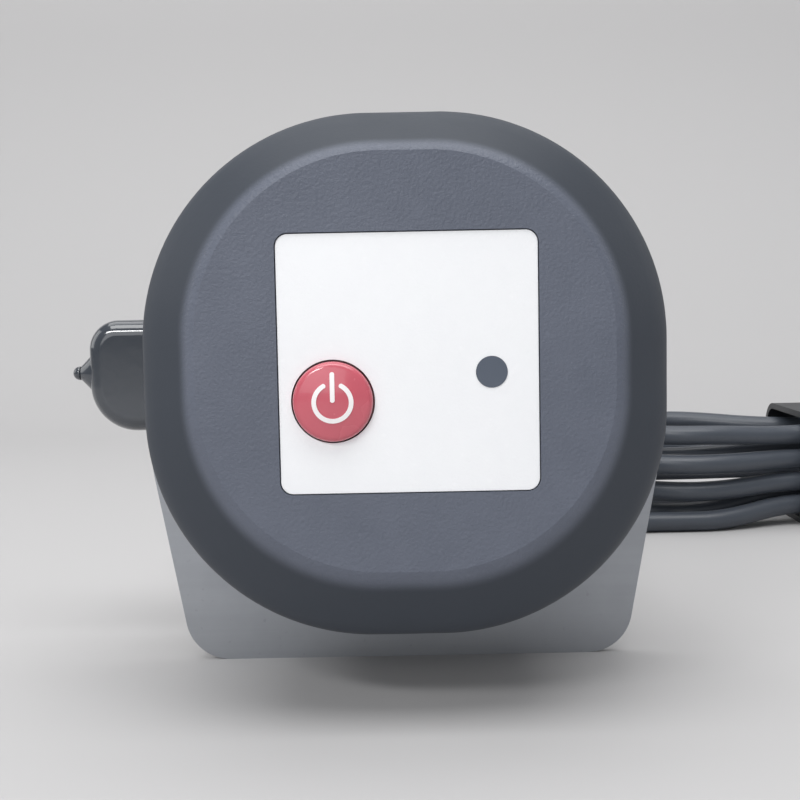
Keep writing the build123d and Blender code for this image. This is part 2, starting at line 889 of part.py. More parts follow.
def make_limit_cam():
    back = gearbox_front_front - cam_standoff
    front = back - cam_thickness
    lobe = Pos(0, axis_height) * Rot(0, 0, open_switch_direction) * Pos(cam_lobe_radius / 2, 0) * Rectangle(
        cam_lobe_radius, cam_lobe_width)
    lobe = lobe & (Pos(0, axis_height) * Circle(cam_lobe_radius))
    face = Pos(0, axis_height) * Circle(cam_radius) + lobe
    body = slab(face, back, front)
    return body - disc(0, axis_height, back + cut_over, front - cut_over, shaft_nose_radius + fit_gap)


def make_limit_switch(direction):
    """A limit switch whose plunger points at the cam from the given direction."""
    tip = cam_lobe_radius + free_gap
    body_start = tip + limit_plunger_length
    turn = Pos(0, axis_height) * Rot(0, 0, direction)
    body = slab(
        turn * Pos(body_start + limit_height / 2, 0) * Rectangle(limit_height, limit_length),
        gearbox_front_front, gearbox_front_front - limit_depth)
    middle_y = gearbox_front_front - cam_standoff - cam_thickness / 2
    start = placed_from((0, axis_height), tip, direction)
    aim = (cos(radians(direction)), 0, sin(radians(direction)))
    plunger = extrude(
        Plane(origin=(start[0], middle_y, start[1]), z_dir=aim) * Circle(limit_plunger_radius),
        amount=limit_plunger_length)
    return body + plunger


def make_bush_and_seal():
    bush_front = gearbox_rear_front
    bush = ring(
        0, axis_height, bush_front + bush_length, bush_front, bush_radius,
        shaft_radius + running_gap)
    seal_back = plate_back - free_gap
    seal = ring(
        0, axis_height, seal_back, seal_back - seal_length, seal_radius,
        shaft_radius + running_gap)
    return {"output_bush": bush, "shaft_seal": seal}


# Fork
arm_back = plate_back + arm_offset + arm_thickness
arm_front = plate_back + arm_offset
lever_front_y = plate_front + valve_offset - barrel_radius - neck_rise - gland_height - lever_clear
lever_front_y = lever_front_y - lever_thickness
lever_back_y = lever_front_y + lever_thickness
finger_offset = lever_width / 2 + free_gap + sleeve_radius
finger_places = [(-finger_reach, axis_height - finger_offset), (-finger_reach, axis_height + finger_offset)]


def make_fork():
    hub_front = plate_back + fork_standoff
    hub = disc(0, axis_height, hub_front + hub_length, hub_front, hub_radius)
    arm = block(
        -finger_reach, 0, arm_front, arm_back,
        axis_height - arm_width / 2, axis_height + arm_width / 2)
    crossbar = slab(
        Pos(-finger_reach, axis_height) * RectangleRounded(
            crossbar_width, 2 * (finger_offset + crossbar_overhang), crossbar_radius),
        arm_back, arm_front)
    body = join([hub, arm, crossbar])
    body = body - disc(
        0, axis_height, hub_front + hub_length + cut_over, hub_front - cut_over,
        shaft_radius + fit_gap)
    for x, z in finger_places:
        body = body - disc(
            x, z, arm_back + cut_over, arm_front - cut_over, finger_bolt_radius + fit_gap)
    return body - make_set_screw_bar(set_screw_radius + fit_gap, 0, hub_radius + cut_over)


def make_set_screw_bar(radius, start, length):
    """A round bar that runs to the right from a start beside the axis, halfway along the hub."""
    middle_y = plate_back + fork_standoff + hub_length / 2
    plane = Plane(origin=(start, middle_y, axis_height), z_dir=(1, 0, 0))
    return extrude(plane * Circle(radius), amount=length)


def make_set_screw():
    start = shaft_radius + fit_gap
    middle_y = plate_back + fork_standoff + hub_length / 2
    end = start + set_screw_length
    socket = Plane(
        origin=(end - set_screw_socket_depth, middle_y, axis_height), z_dir=(1, 0, 0)
    ) * RegularPolygon(set_screw_socket_flats / 2, 6, major_radius=False)
    return make_set_screw_bar(set_screw_radius, start, set_screw_length) - extrude(
        socket, amount=set_screw_socket_depth + cut_over)


def make_fork_nodes():
    bolts = []
    sleeves = []
    for x, z in finger_places:
        head = hexagon(x, z, arm_front, arm_front - finger_head_height + free_gap, finger_head_flats)
        shank = disc(x, z, arm_back + finger_bolt_length, arm_front, finger_bolt_radius)
        bolts.append(head + shank)
        sleeves.append(ring(
            x, z, arm_back + finger_bolt_length, arm_back + free_gap, sleeve_radius,
            finger_bolt_radius + fit_gap))
    return {
        "drive_fork": make_fork(),
        "finger_bolts": group(bolts),
        "finger_sleeves": group(sleeves),
        "fork_set_screw": make_set_screw(),
    }


# Bracket
def make_bracket():
    points = [
        (-plate_bottom_half, 0),
        (plate_bottom_half, 0),
        (plate_wide_half, plate_wide_height),
        (plate_shoulder_half, plate_shoulder_height),
        (plate_top_half, plate_height),
        (-plate_top_half, plate_height),
        (-plate_shoulder_half, plate_shoulder_height),
        (-plate_wide_half, plate_wide_height),
    ]
    outline = Polygon(*points, align=None)
    corners = outline.vertices()
    bottom = [v for v in corners if v.Y < plate_corner_radius]
    outline = fillet(bottom, plate_corner_radius)
    wide = [
        v for v in outline.vertices()
        if abs(v.Y - plate_wide_height) < sheet_thickness
        and abs(abs(v.X) - plate_wide_half) < sheet_thickness]
    outline = fillet(wide, plate_wide_radius)
    upper = [v for v in outline.vertices() if v.Y > plate_shoulder_height - sheet_thickness]
    outline = fillet(upper, plate_shoulder_radius)
    front = slab(outline, plate_back, plate_front)
    body = join([front, make_bracket_strip()] + make_welds())
    body = body - disc(
        0, axis_height, plate_back + cut_over, plate_front - cut_over, spigot_radius + screw_clearance)
    for x, z in bracket_screw_places:
        body = body - disc(
            x, z, plate_back + cut_over, plate_front - cut_over, bracket_hole_radius)
    body = body - disc(
        gland_x, gland_z, plate_back + cut_over, plate_front - cut_over,
        gland_hole_radius + screw_clearance)
    for x, z in clamp_leg_places():
        body = body - disc(
            x, z, upstand_back + cut_over, upstand_front - cut_over,
            clamp_rod_radius + clamp_hole_clearance)
    return body


def make_welds():
    """The weld beads between the plate's back and the foot."""
    corner = (plate_back, sheet_thickness)
    along = (plate_back + weld_leg, sheet_thickness)
    up = (plate_back, sheet_thickness + weld_leg)
    face = make_face([Line(corner, along), Line(along, up), Line(up, corner)])
    starts = [centre - weld_length / 2 for centre in (-weld_spread, 0, weld_spread)]
    return [
        extrude(Plane(origin=(start, 0, 0), x_dir=(0, 1, 0), z_dir=(1, 0, 0)) * face, amount=weld_length)
        for start in starts]


def make_bracket_strip():
    """The foot, its bend and the upstand that rises from it."""
    half = foot_width / 2
    inner = bend_inner_radius
    outer = bend_outer_radius
    low_back = upstand_back - outer
    profile = [
        Line((plate_back, 0), (plate_back, sheet_thickness)),
        Line((plate_back, sheet_thickness), (low_back, sheet_thickness)),
        RadiusArc((low_back, sheet_thickness), (upstand_front, outer), -inner),
        Line((upstand_front, outer), (upstand_front, upstand_height)),
        Line((upstand_front, upstand_height), (upstand_back, upstand_height)),
        Line((upstand_back, upstand_height), (upstand_back, outer)),
        RadiusArc((upstand_back, outer), (low_back, 0), outer),
        Line((low_back, 0), (plate_back, 0)),
    ]
    plane = Plane(origin=(-half, 0, 0), x_dir=(0, 1, 0), z_dir=(1, 0, 0))
    strip = extrude(plane * make_face(profile), amount=foot_width)
    taper = (foot_width - upstand_top_width) / 2
    for side in (-1, 1):
        points = [
            (side * half, upstand_taper_height),
            (side * (half - taper), upstand_taper_height + taper),
            (side * (half - taper), upstand_height + cut_over),
            (side * (half + cut_over), upstand_height + cut_over),
            (side * (half + cut_over), upstand_taper_height),
        ]
        strip = strip - slab(
            Polygon(*points, align=None), upstand_back + cut_over, upstand_front - cut_over)
    tops = strip.edges().filter_by(Axis.Y).sort_by(Axis.Z)[-2:]
    return fillet(tops, upstand_corner_radius)


def make_bracket_screws():
    screws = []
    head_back = plate_back + bracket_screw_head_height
    for x, z in bracket_screw_places:
        head = disc(x, z, head_back, plate_back, 2 * bracket_hole_radius - screw_clearance)
        shank = disc(
            x, z, plate_back, gearbox_rear_back + screw_clearance,
            bracket_hole_radius - screw_clearance)
        socket = hexagon(
            x, z, head_back + cut_over, head_back - bracket_screw_socket_depth,
            bracket_screw_socket_flats)
        screws.append(head + shank - socket)
    return group(screws)


# Clamps
clamp_x = cavity_half_length + barrel_end_wall + seat_cylinder_length / 2
clamp_bend_radius = seat_cylinder_radius + clamp_rod_radius + running_gap


def clamp_leg_places():
    """Where the clamps' threaded legs go through the upstand."""
    return [(sx * clamp_x, axis_height + sz * clamp_bend_radius) for sx in (-1, 1) for sz in (-1, 1)]


def make_clamp(x):
    tip = upstand_back + clamp_leg_proud
    top = axis_height + clamp_bend_radius
    low = axis_height - clamp_bend_radius
    path = Wire([
        Edge.make_line((x, tip, low), (x, valve_y, low)),
        Edge.make_three_point_arc(
            (x, valve_y, low), (x, valve_y - clamp_bend_radius, axis_height), (x, valve_y, top)),
        Edge.make_line((x, valve_y, top), (x, tip, top)),
    ])
    section = Plane(origin=(x, tip, low), z_dir=(0, -1, 0)) * Circle(clamp_rod_radius)
    return sweep(section, path=path)


def make_saddle(x):
    half_height = clamp_bend_radius - clamp_rod_radius - saddle_side_gap
    body = block(
        x - saddle_width / 2, x + saddle_width / 2, valve_y + seat_cylinder_radius / 2,
        upstand_front, axis_height - half_height, axis_height + half_height)
    return body - bar_x(
        Circle(seat_cylinder_radius + running_gap), x - saddle_width, x + saddle_width)


def make_wing_nut(x, z):
    back_of_washer = upstand_back + washer_thickness
    hub = disc(x, z, back_of_washer + wing_hub_height, back_of_washer, wing_hub_radius)
    wing_back = back_of_washer + wing_height
    outline = Rectangle(wing_span, wing_thickness)
    wings = slab(Pos(x, z) * outline, wing_back, back_of_washer + wing_root_height)
    tips = wings.edges().filter_by(Axis.Z)
    tips = tips.filter_by(lambda edge: edge.center().Y > wing_back - running_gap)
    wings = fillet(tips, wing_hub_radius)
    nut = hub + wings
    wing_gap = disc(
        x, z, wing_back + cut_over, back_of_washer + wing_hub_height, wing_hub_radius)
    nut = nut - wing_gap
    return nut - disc(
        x, z, wing_back + cut_over, back_of_washer - cut_over, clamp_rod_radius + fit_gap)


def make_clamp_nodes():
    washers = [
        ring(x, z, upstand_back + washer_thickness, upstand_back, washer_radius,
             clamp_rod_radius + clamp_hole_clearance)
        for x, z in clamp_leg_places()]
    return {
        "pipe_clamps": group([make_clamp(x) for x in (-clamp_x, clamp_x)]),
        "clamp_saddles": group([make_saddle(x) for x in (-clamp_x, clamp_x)]),
        "clamp_washers": group(washers),
        "clamp_wing_nuts": group([make_wing_nut(x, z) for x, z in clamp_leg_places()]),
    }


# Valve
hexagon_end = RegularPolygon(hex_flats / 2, 6, major_radius=False)
barrel_half_length = cavity_half_length + barrel_end_wall
neck_front = valve_y - barrel_radius - neck_rise
gland_front = neck_front - gland_height


def make_end(side):
    """The clamp seat and the wrench flats at one end of the valve."""
    inner = side * barrel_half_length
    seat_end = side * (valve_half_length - hex_length)
    end = side * valve_half_length
    cylinder = bar_x(Circle(seat_cylinder_radius), min(inner, seat_end), max(inner, seat_end))
    flats = bar_x(hexagon_end, min(seat_end, end), max(seat_end, end))
    return cylinder + flats


def make_valve_body():
    barrel = bar_x(Circle(barrel_radius), -barrel_half_length, barrel_half_length)
    barrel = fillet(barrel.edges().filter_by(GeomType.CIRCLE), barrel_edge)
    neck = disc(0, axis_height, valve_y, neck_front, neck_radius)
    body = join([barrel, make_end(-1), neck])
    body = body - bar_x(
        Circle(port_radius), -valve_half_length - cut_over, -valve_half_length + port_depth)
    body = body - bar_x(Circle(bore_radius), -valve_half_length, 0)
    body = body - bar_x(Circle(cavity_radius), -cavity_half_length, barrel_half_length + cut_over)
    body = body - disc(0, axis_height, valve_y, neck_front - cut_over, stem_radius + running_gap)
    packing_back = neck_front + packing_length
    return body - disc(
        0, axis_height, packing_back, neck_front - cut_over, packing_radius + fit_gap)


def make_end_cap():
    spigot = bar_x(Circle(cavity_radius - fit_gap), cavity_half_length, barrel_half_length)
    body = spigot + make_end(1)
    body = body - bar_x(
        Circle(port_radius), valve_half_length - port_depth, valve_half_length + cut_over)
    return body - bar_x(Circle(bore_radius), 0, valve_half_length)


def make_ball():
    ball = Pos(0, valve_y, axis_height) * Sphere(ball_radius)
    ball = ball - bar_x(Circle(bore_radius), -barrel_radius, barrel_radius)
    slot_front = valve_y - ball_radius
    return ball - block(
        -ball_radius, ball_radius, slot_front - cut_over, slot_front + stem_slot_depth,
        axis_height - stem_slot_width / 2, axis_height + stem_slot_width / 2)


def make_seat(side):
    """A ring turned to the ball's curve, drawn from its section."""
    reach = ball_radius + running_gap
    outer = cavity_half_length
    inner = outer - ball_seat_depth
    rim = cavity_radius - fit_gap
    bore_start = (sqrt(reach ** 2 - bore_radius ** 2), bore_radius)
    face_start = (inner, sqrt(reach ** 2 - inner ** 2))
    middle = (bore_start[1] + face_start[1]) / 2
    section = make_face([
        Line(face_start, (inner, rim)),
        Line((inner, rim), (outer, rim)),
        Line((outer, rim), (outer, bore_radius)),
        Line((outer, bore_radius), bore_start),
        ThreePointArc(bore_start, (sqrt(reach ** 2 - middle ** 2), middle), face_start),
    ])
    centre = (0, valve_y, axis_height)
    plane = Plane(origin=centre, x_dir=(side, 0, 0), z_dir=(0, 1, 0))
    return revolve(plane * section, axis=Axis(centre, (1, 0, 0)))


def make_stem():
    slot_front = valve_y - ball_radius
    stem_front = lever_front_y - lever_nut_height - stem_end_proud
    shank_back = slot_front - fit_gap
    shank = disc(0, axis_height, shank_back, stem_front, stem_radius)
    tang = block(
        -stem_radius / 2, stem_radius / 2, shank_back, slot_front + stem_slot_depth - fit_gap,
        axis_height - stem_slot_width / 2 + fit_gap, axis_height + stem_slot_width / 2 - fit_gap)
    return shank + tang


def make_gland_nut():
    body = hexagon(0, axis_height, neck_front, gland_front, gland_flats)
    body = chamfer(body.faces().sort_by(Axis.Y)[0].edges(), gland_edge)
    return body - disc(
        0, axis_height, neck_front + cut_over, gland_front - cut_over, stem_radius + running_gap)


def make_lever():
    eye = Circle(lever_eye_radius)
    strip = Pos(-lever_reach / 2, 0) * RectangleRounded(
        lever_reach, lever_width, lever_width / 2 - fit_gap)
    face = Pos(0, axis_height) * (eye + strip)
    body = slab(face, lever_back_y, lever_front_y)
    return body - disc(
        0, axis_height, lever_back_y + cut_over, lever_front_y - cut_over, stem_radius + fit_gap)


def make_lever_nut():
    nut_front = lever_front_y - lever_nut_height
    body = hexagon(0, axis_height, lever_front_y, nut_front, lever_nut_flats)
    body = chamfer(body.faces().sort_by(Axis.Y)[0].edges(), lever_nut_edge)
    return body - disc(
        0, axis_height, lever_front_y + cut_over, nut_front - cut_over, stem_radius + fit_gap)


def make_nub(middle_y):
    """The drip that the dipping left on the sleeve's end."""
    height = axis_height + nub_up

    def place(reach):
        return Plane(
            origin=(-grip_end - reach, middle_y, height), x_dir=(0, 1, 0), z_dir=(-1, 0, 0))

    flank = loft([
        place(-nub_sunk) * Ellipse(nub_base_half_depth, nub_base_half_width),
        place(nub_neck_length) * Ellipse(nub_neck_half_depth, nub_neck_half_width),
        place(nub_length) * Circle(nub_end_radius),
    ])
    return [flank, Pos(-grip_end - nub_length, middle_y, height) * Sphere(nub_tip_radius)]


def make_lever_sleeve():
    middle_y = (lever_front_y + lever_back_y) / 2
    back = middle_y + grip_thickness / 2
    front = middle_y - grip_thickness / 2
    low = axis_height - grip_width / 2
    high = axis_height + grip_width / 2
    outline = Polygon(
        (-grip_start, low), (-grip_start, high), (-grip_end, high), (-grip_end, low), align=None)
    outer_corners = outline.vertices().sort_by(Axis.X)[:2].sort_by(Axis.Y)
    outline = fillet(outer_corners[0], grip_lower_corner_radius)
    upper_corner = outline.vertices().filter_by(
        lambda corner: corner.X < -grip_end + same_place and corner.Y > high - same_place)
    outline = fillet(upper_corner, grip_upper_corner_radius)
    body = slab(outline, back, front)
    faces = body.faces().sort_by(Axis.Y)
    body = fillet(faces[0].edges() + faces[-1].edges(), grip_edge_radius)
    body = join([body] + make_nub(middle_y))
    pocket = slab(
        Pos(-lever_reach / 2, axis_height) * RectangleRounded(
            lever_reach + fit_gap, lever_width + 2 * fit_gap, lever_width / 2 - fit_gap),
        lever_back_y + fit_gap, lever_front_y - fit_gap)
    return body - pocket


def make_valve_nodes():
    packing = ring(
        0, axis_height, neck_front + packing_length, neck_front, packing_radius,
        stem_radius + running_gap)
    return {
        "valve_body": make_valve_body(),
        "valve_end_cap": make_end_cap(),
        "valve_ball": make_ball(),
        "ball_seats": group([make_seat(-1), make_seat(1)]),
        "valve_stem": make_stem(),
        "stem_packing": packing,
        "gland_nut": make_gland_nut(),
        "valve_lever": make_lever(),
        "lever_nut": make_lever_nut(),
        "lever_sleeve": make_lever_sleeve(),
    }


# Lead
gland_back = plate_back + gland_length
wire_radius = cord_diameter / 2
run_points = [
    (33.0, -23.0, 48.0),
    (33.0, -12.5, 48.0),
    (34.3, -2.6, 44.6),
    (36.8, 5.6, 37.4),
    (39.8, 11.4, 28.2),
    (42.4, 17.6, 18.8),
    (43.8, 26.2, 10.6),
    (44.0, 37.4, 5.2),
    (43.4, 51.0, 3.0),
    (43.4, 66.0, 3.0),
    (46.8, 78.2, 3.0),
    (56.0, 87.4, 3.0),
    (69.5, 91.62, 3.0),
    (82.0, 91.62, 3.0),
]


def make_gland():
    flange_back = shell_inner
    flange_front = flange_back - gland_flange_thickness
    flange = disc(gland_x, gland_z, flange_back, flange_front, gland_flange_radius)
    barrel = disc(gland_x, gland_z, plate_back, flange_front, gland_hole_radius)
    taper = Plane(origin=(gland_x, plate_back, gland_z), z_dir=(0, 1, 0)) * Pos(
        0, 0, gland_length / 2) * Cone(gland_hole_radius, gland_tip_radius, gland_length)
    body = join([flange, barrel, taper])
    for index in range(gland_groove_count):
        start = plate_back + gland_groove_start + index * gland_groove_pitch
        body = body - ring(
            gland_x, gland_z, start + gland_groove_width, start, gland_hole_radius,
            gland_groove_radius)
    return body


def corner_radii(points):
    """An arc at each corner as large as its two runs allow."""
    radii = []
    for before, here, after in zip(points, points[1:], points[2:]):
        incoming = Vector(*here) - Vector(*before)
        outgoing = Vector(*after) - Vector(*here)
        turn = incoming.get_angle(outgoing)
        shorter = min(incoming.length, outgoing.length)
        radii.append(bend_share * shorter / tan(radians(turn) / 2))
    return radii


def make_tube(points, label):
    """A round lead along straight runs joined by tangent arcs."""
    radii = corner_radii(points)
    path = FilletPolyline(*points, radius=radii)
    section = Plane(origin=path @ 0, z_dir=path % 0) * Circle(wire_radius)
    tube = sweep(section, path=path)
    expected = pi * wire_radius ** 2 * path.length
    print(label, "radii", [round(radius, 1) for radius in radii])
    print(label, "length", round(path.length, 1), "volume over expected",
          round(tube.volume / expected, 4))
    return tube


def biarc(start, start_aim, finish, finish_aim):
    """Two arcs that leave start and reach finish along the given directions."""
    chord = finish - start
    total = start_aim + finish_aim
    bend = 2 * (1 - start_aim.dot(finish_aim))
    along = chord.dot(total)
    if bend < same_place:
        reach = chord.dot(chord) / (4 * chord.dot(finish_aim))
    else:
        reach = (-along + sqrt(along ** 2 + bend * chord.dot(chord))) / bend
    joint = (start + finish + (start_aim - finish_aim) * reach) * 0.5
    return [
        tangent_arc(start, start_aim, joint),
        tangent_arc(joint, None, finish, finish_aim),
    ]


def tangent_arc(start, start_aim, finish, finish_aim=None):
    """The arc, or the straight line, from start to finish along one known end direction."""
    aim = start_aim if start_aim is not None else finish_aim
    chord = finish - start
    across = chord - aim * chord.dot(aim)
    if across.length < same_place:
        return Edge.make_line(start, finish)
    if start_aim is not None:
        return Edge.make_tangent_arc(start, start_aim, finish)
    return Edge.make_tangent_arc(finish, finish_aim * -1, start).reversed()


def hank_level(half_turn):
    """How many steps out and how many layers up the strand is after some half turns."""
    spiral = half_turns_per_layer - 1
    layer = int(half_turn // half_turns_per_layer)
    within = half_turn - layer * half_turns_per_layer
    moved = min(within, spiral) / 2
    climb = max(within - spiral, 0)
    inward = layer % 2 == 0
    level = spiral / 2 - moved if inward else moved
    return level, layer + climb


def hank_station(half_turn, share):
    """The place and direction of the strand at a share of one half turn, fold to fold."""
    side = -1 if half_turn % 2 == 0 else 1
    travel = -side
    level, layer = hank_level(half_turn + share)
    shoulder_x = hank_half_length - fold_radius
    height = wire_radius + layer * fold_layer_step
    if share == 0:
        x = hank_x - travel * (hank_half_length + level * loop_step)
        return Vector(x, hank_y, height), Vector(0, side, 0)
    if share == waist_share:
        y = hank_y + side * (waist_half + level * waist_step)
        height = wire_radius + waist_lift + layer * layer_step
        return Vector(hank_x, y, height), Vector(travel, 0, 0)
    end = -1 if share < waist_share else 1
    y = hank_y + side * (fold_radius + level * loop_step)
    return Vector(hank_x + end * travel * shoulder_x, y, height), Vector(travel, 0, 0)


def hank_path():
    """The hank's one unbroken line, with a straight stretch at each end."""
    half_turns = layer_count * half_turns_per_layer - 1
    shares = (0, shoulder_share, waist_share, 1 - shoulder_share)
    stations = [hank_station(turn, share) for turn in range(half_turns) for share in shares]
    stations = stations[1:-1]
    last_place, last_aim = stations[-1]
    stations[-1] = (last_place + Vector(0, 0, end_lift), last_aim)
    top = wire_radius + (layer_count - 1) * fold_layer_step + wire_radius
    rest_place = Vector(last_place.X + end_rise_run, last_place.Y, top + plug_lie + plug_radius)
    stations.append((rest_place, last_aim))
    start, start_aim = stations[0]
    edges = [Edge.make_line(start - start_aim * cord_diameter, start)]
    for (place, aim), (next_place, next_aim) in zip(stations, stations[1:]):
        edges += biarc(place, aim, next_place, next_aim)
    finish, finish_aim = stations[-1]
    edges.append(Edge.make_line(finish, finish + finish_aim * cord_diameter))
    return Wire(edges)


def least_gap(path):
    """The smallest space between two strands of the hank, measured on points."""
    count = int(path.length / (wire_radius / 2))
    points = [path @ (index / count) for index in range(count + 1)]
    apart = int(gap_search_diameters * cord_diameter / (path.length / count))
    least = path.length
    for index, point in enumerate(points):
        for other in points[index + apart:]:
            gap = hypot(point.X - other.X, point.Y - other.Y, point.Z - other.Z)
            least = min(least, gap)
    return least - cord_diameter


def make_hank(path):
    section = Plane(origin=path @ 0, z_dir=path % 0) * Circle(wire_radius)
    tube = sweep(section, path=path)
    expected = pi * wire_radius ** 2 * path.length
    print("hank length", round(path.length, 1), "least gap", round(least_gap(path), 2),
          "volume over expected", round(tube.volume / expected, 4))
    print("hank starts at", path @ 0, "and ends at", path @ 1)
    return tube


def make_tie():
    highest = waist_lift + end_lift + cord_diameter + (layer_count - 1) * layer_step
    widest = waist_half + (half_turns_per_layer - 1) / 2 * waist_step + wire_radius
    inner_width = 2 * (widest + tie_gap)
    inner_height = highest + tie_gap - tie_thickness
    outer = RectangleRounded(
        inner_width + 2 * tie_thickness, inner_height + 2 * tie_thickness,
        tie_corner_radius + tie_thickness)
    inner = RectangleRounded(inner_width, inner_height, tie_corner_radius)
    centre_z = tie_thickness + inner_height / 2
    plane = Plane(
        origin=(hank_x - tie_width / 2, hank_y, centre_z), x_dir=(0, 1, 0), z_dir=(1, 0, 0))
    return extrude(plane * (outer - inner), amount=tie_width)


def make_plug(start):
    """The barrel plug on the lead's far end, pointing to the right."""
    def bar(reach, length, radius):
        plane = Plane(origin=start + Vector(reach, 0, 0), z_dir=(1, 0, 0))
        return extrude(plane * Circle(radius), amount=length)

    neck = bar(0, plug_neck_length, plug_neck_radius)
    for index in range(plug_rib_count):
        rib_start = plug_rib_start + index * plug_rib_pitch
        neck = neck + bar(rib_start, plug_rib_width, plug_rib_radius)
    body = bar(plug_neck_length, plug_length, plug_radius)
    body = fillet(body.edges().filter_by(GeomType.CIRCLE), plug_edge_radius)
    reach = plug_neck_length + plug_length
    barrel = bar(reach, plug_barrel_length, plug_barrel_radius)
    barrel = barrel - bar(reach, plug_barrel_length + cut_over, plug_barrel_bore)
    return {"dc_plug": neck + body, "dc_plug_barrel": barrel}


lead_path = hank_path()
nodes = {
    "front_cap": make_front_cap(),
    "rear_shell": make_rear_shell(),
    "housing_gasket": make_gasket(),
    "housing_screws": make_housing_screws(),
    "label_plate": make_label_plate(),
    "indicator_lens": make_lens(),
    "power_button": make_button(),
    "button_symbol": make_button_symbol(),
    "button_spring": make_button_spring(),
    "output_shaft": make_output_shaft(),
    "limit_cam": make_limit_cam(),
    "open_limit_switch": make_limit_switch(open_switch_direction),
    "closed_limit_switch": make_limit_switch(closed_switch_direction),
    "mounting_bracket": make_bracket(),
    "bracket_screws": make_bracket_screws(),
    "cord_gland": make_gland(),
    "lead_run": make_tube(run_points, "lead run"),
    "lead_hank": make_hank(lead_path),
    "hank_tie": make_tie(),
}
nodes.update(make_board_nodes())
nodes.update(make_gearbox_frame())
nodes.update(make_train())
nodes.update(make_bush_and_seal())
nodes.update(make_fork_nodes())
nodes.update(make_clamp_nodes())
nodes.update(make_valve_nodes())
nodes.update(make_plug(lead_path @ 1))

os.makedirs("parts", exist_ok=True)
for name, shape in nodes.items():
    export_step(shape, f"parts/{name}.step")
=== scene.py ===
"""Looks for a motorised valve controller: finishes, small details, its lead and the studio."""

import json
import logging
import math
from dataclasses import dataclass, field
from enum import Enum

import bpy
from mathutils import Matrix, Vector


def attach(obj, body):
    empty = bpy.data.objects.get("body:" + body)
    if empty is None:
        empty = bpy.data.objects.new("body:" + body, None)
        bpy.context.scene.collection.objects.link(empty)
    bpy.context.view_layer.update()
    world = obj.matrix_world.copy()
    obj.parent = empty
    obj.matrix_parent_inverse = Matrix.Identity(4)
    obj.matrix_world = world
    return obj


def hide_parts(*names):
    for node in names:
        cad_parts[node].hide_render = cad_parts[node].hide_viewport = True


LOG = logging.getLogger("valve_controller")
MM = 0.001
Point = tuple[float, float, float]
Colour = tuple[float, float, float]
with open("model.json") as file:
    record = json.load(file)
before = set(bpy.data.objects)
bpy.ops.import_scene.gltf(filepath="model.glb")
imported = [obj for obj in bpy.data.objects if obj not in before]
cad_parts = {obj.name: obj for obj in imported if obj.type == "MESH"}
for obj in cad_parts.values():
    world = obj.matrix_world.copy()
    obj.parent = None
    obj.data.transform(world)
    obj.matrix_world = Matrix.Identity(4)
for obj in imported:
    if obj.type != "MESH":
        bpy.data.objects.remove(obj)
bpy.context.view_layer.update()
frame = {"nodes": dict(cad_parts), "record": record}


def linear(colour: Colour) -> tuple[float, float, float, float]:
    """Turn a colour as seen on a screen, by the sRGB curve, into the shader's own numbers.

    Args:
        colour: Red, green and blue from 0 to 255.

    Returns:
        The linear colour with an alpha of one.
    """
    out = []
    for value in colour:
        share = value / 255
        out.append(share / 12.92 if share <= 0.04045 else ((share + 0.055) / 1.055) ** 2.4)
    return (out[0], out[1], out[2], 1.0)


def metres(point: Point) -> Vector:
    """Turn a point in millimetres into metres."""
    return Vector(point) * MM


class Surface(Enum):
    """The kinds of relief that a finish can have."""

    SMOOTH = "smooth"
    MOULDED = "moulded"
    BRUSHED = "brushed"
    CAST = "cast"


@dataclass(frozen=True)
class Finish:
    """One finish: its colour as seen, its gloss and its relief.

    grain_size is in millimetres, and relief is the height of the grain in millimetres.
    marks is how much handling and dust change the colour and gloss. The rim colour is
    painted shade: the smooth rim behind the grained front is given a darker colour than
    the face, standing in for the dark that the rim band catches, and rim_roughness is the
    rim's roughness. The rim starts rim_start and is complete rim_end millimetres behind
    the front of the piece.
    """

    name: str
    colour: Colour
    roughness: float
    metallic: float = 0.0
    surface: Surface = Surface.SMOOTH
    grain_size: float = 0.6
    relief: float = 0.0
    marks: float = 0.0
    second_colour: Colour | None = None
    brush_axis: int = 0
    coat: float = 0.0
    coat_roughness: float = 0.05
    specular: float = 0.5
    # Painted shade: a darker colour for the rim than for the face of the same plastic.
    rim_shade_colour: Colour | None = None
    rim_roughness: float = 0.5
    rim_start: float = 0.4
    rim_end: float = 2.2


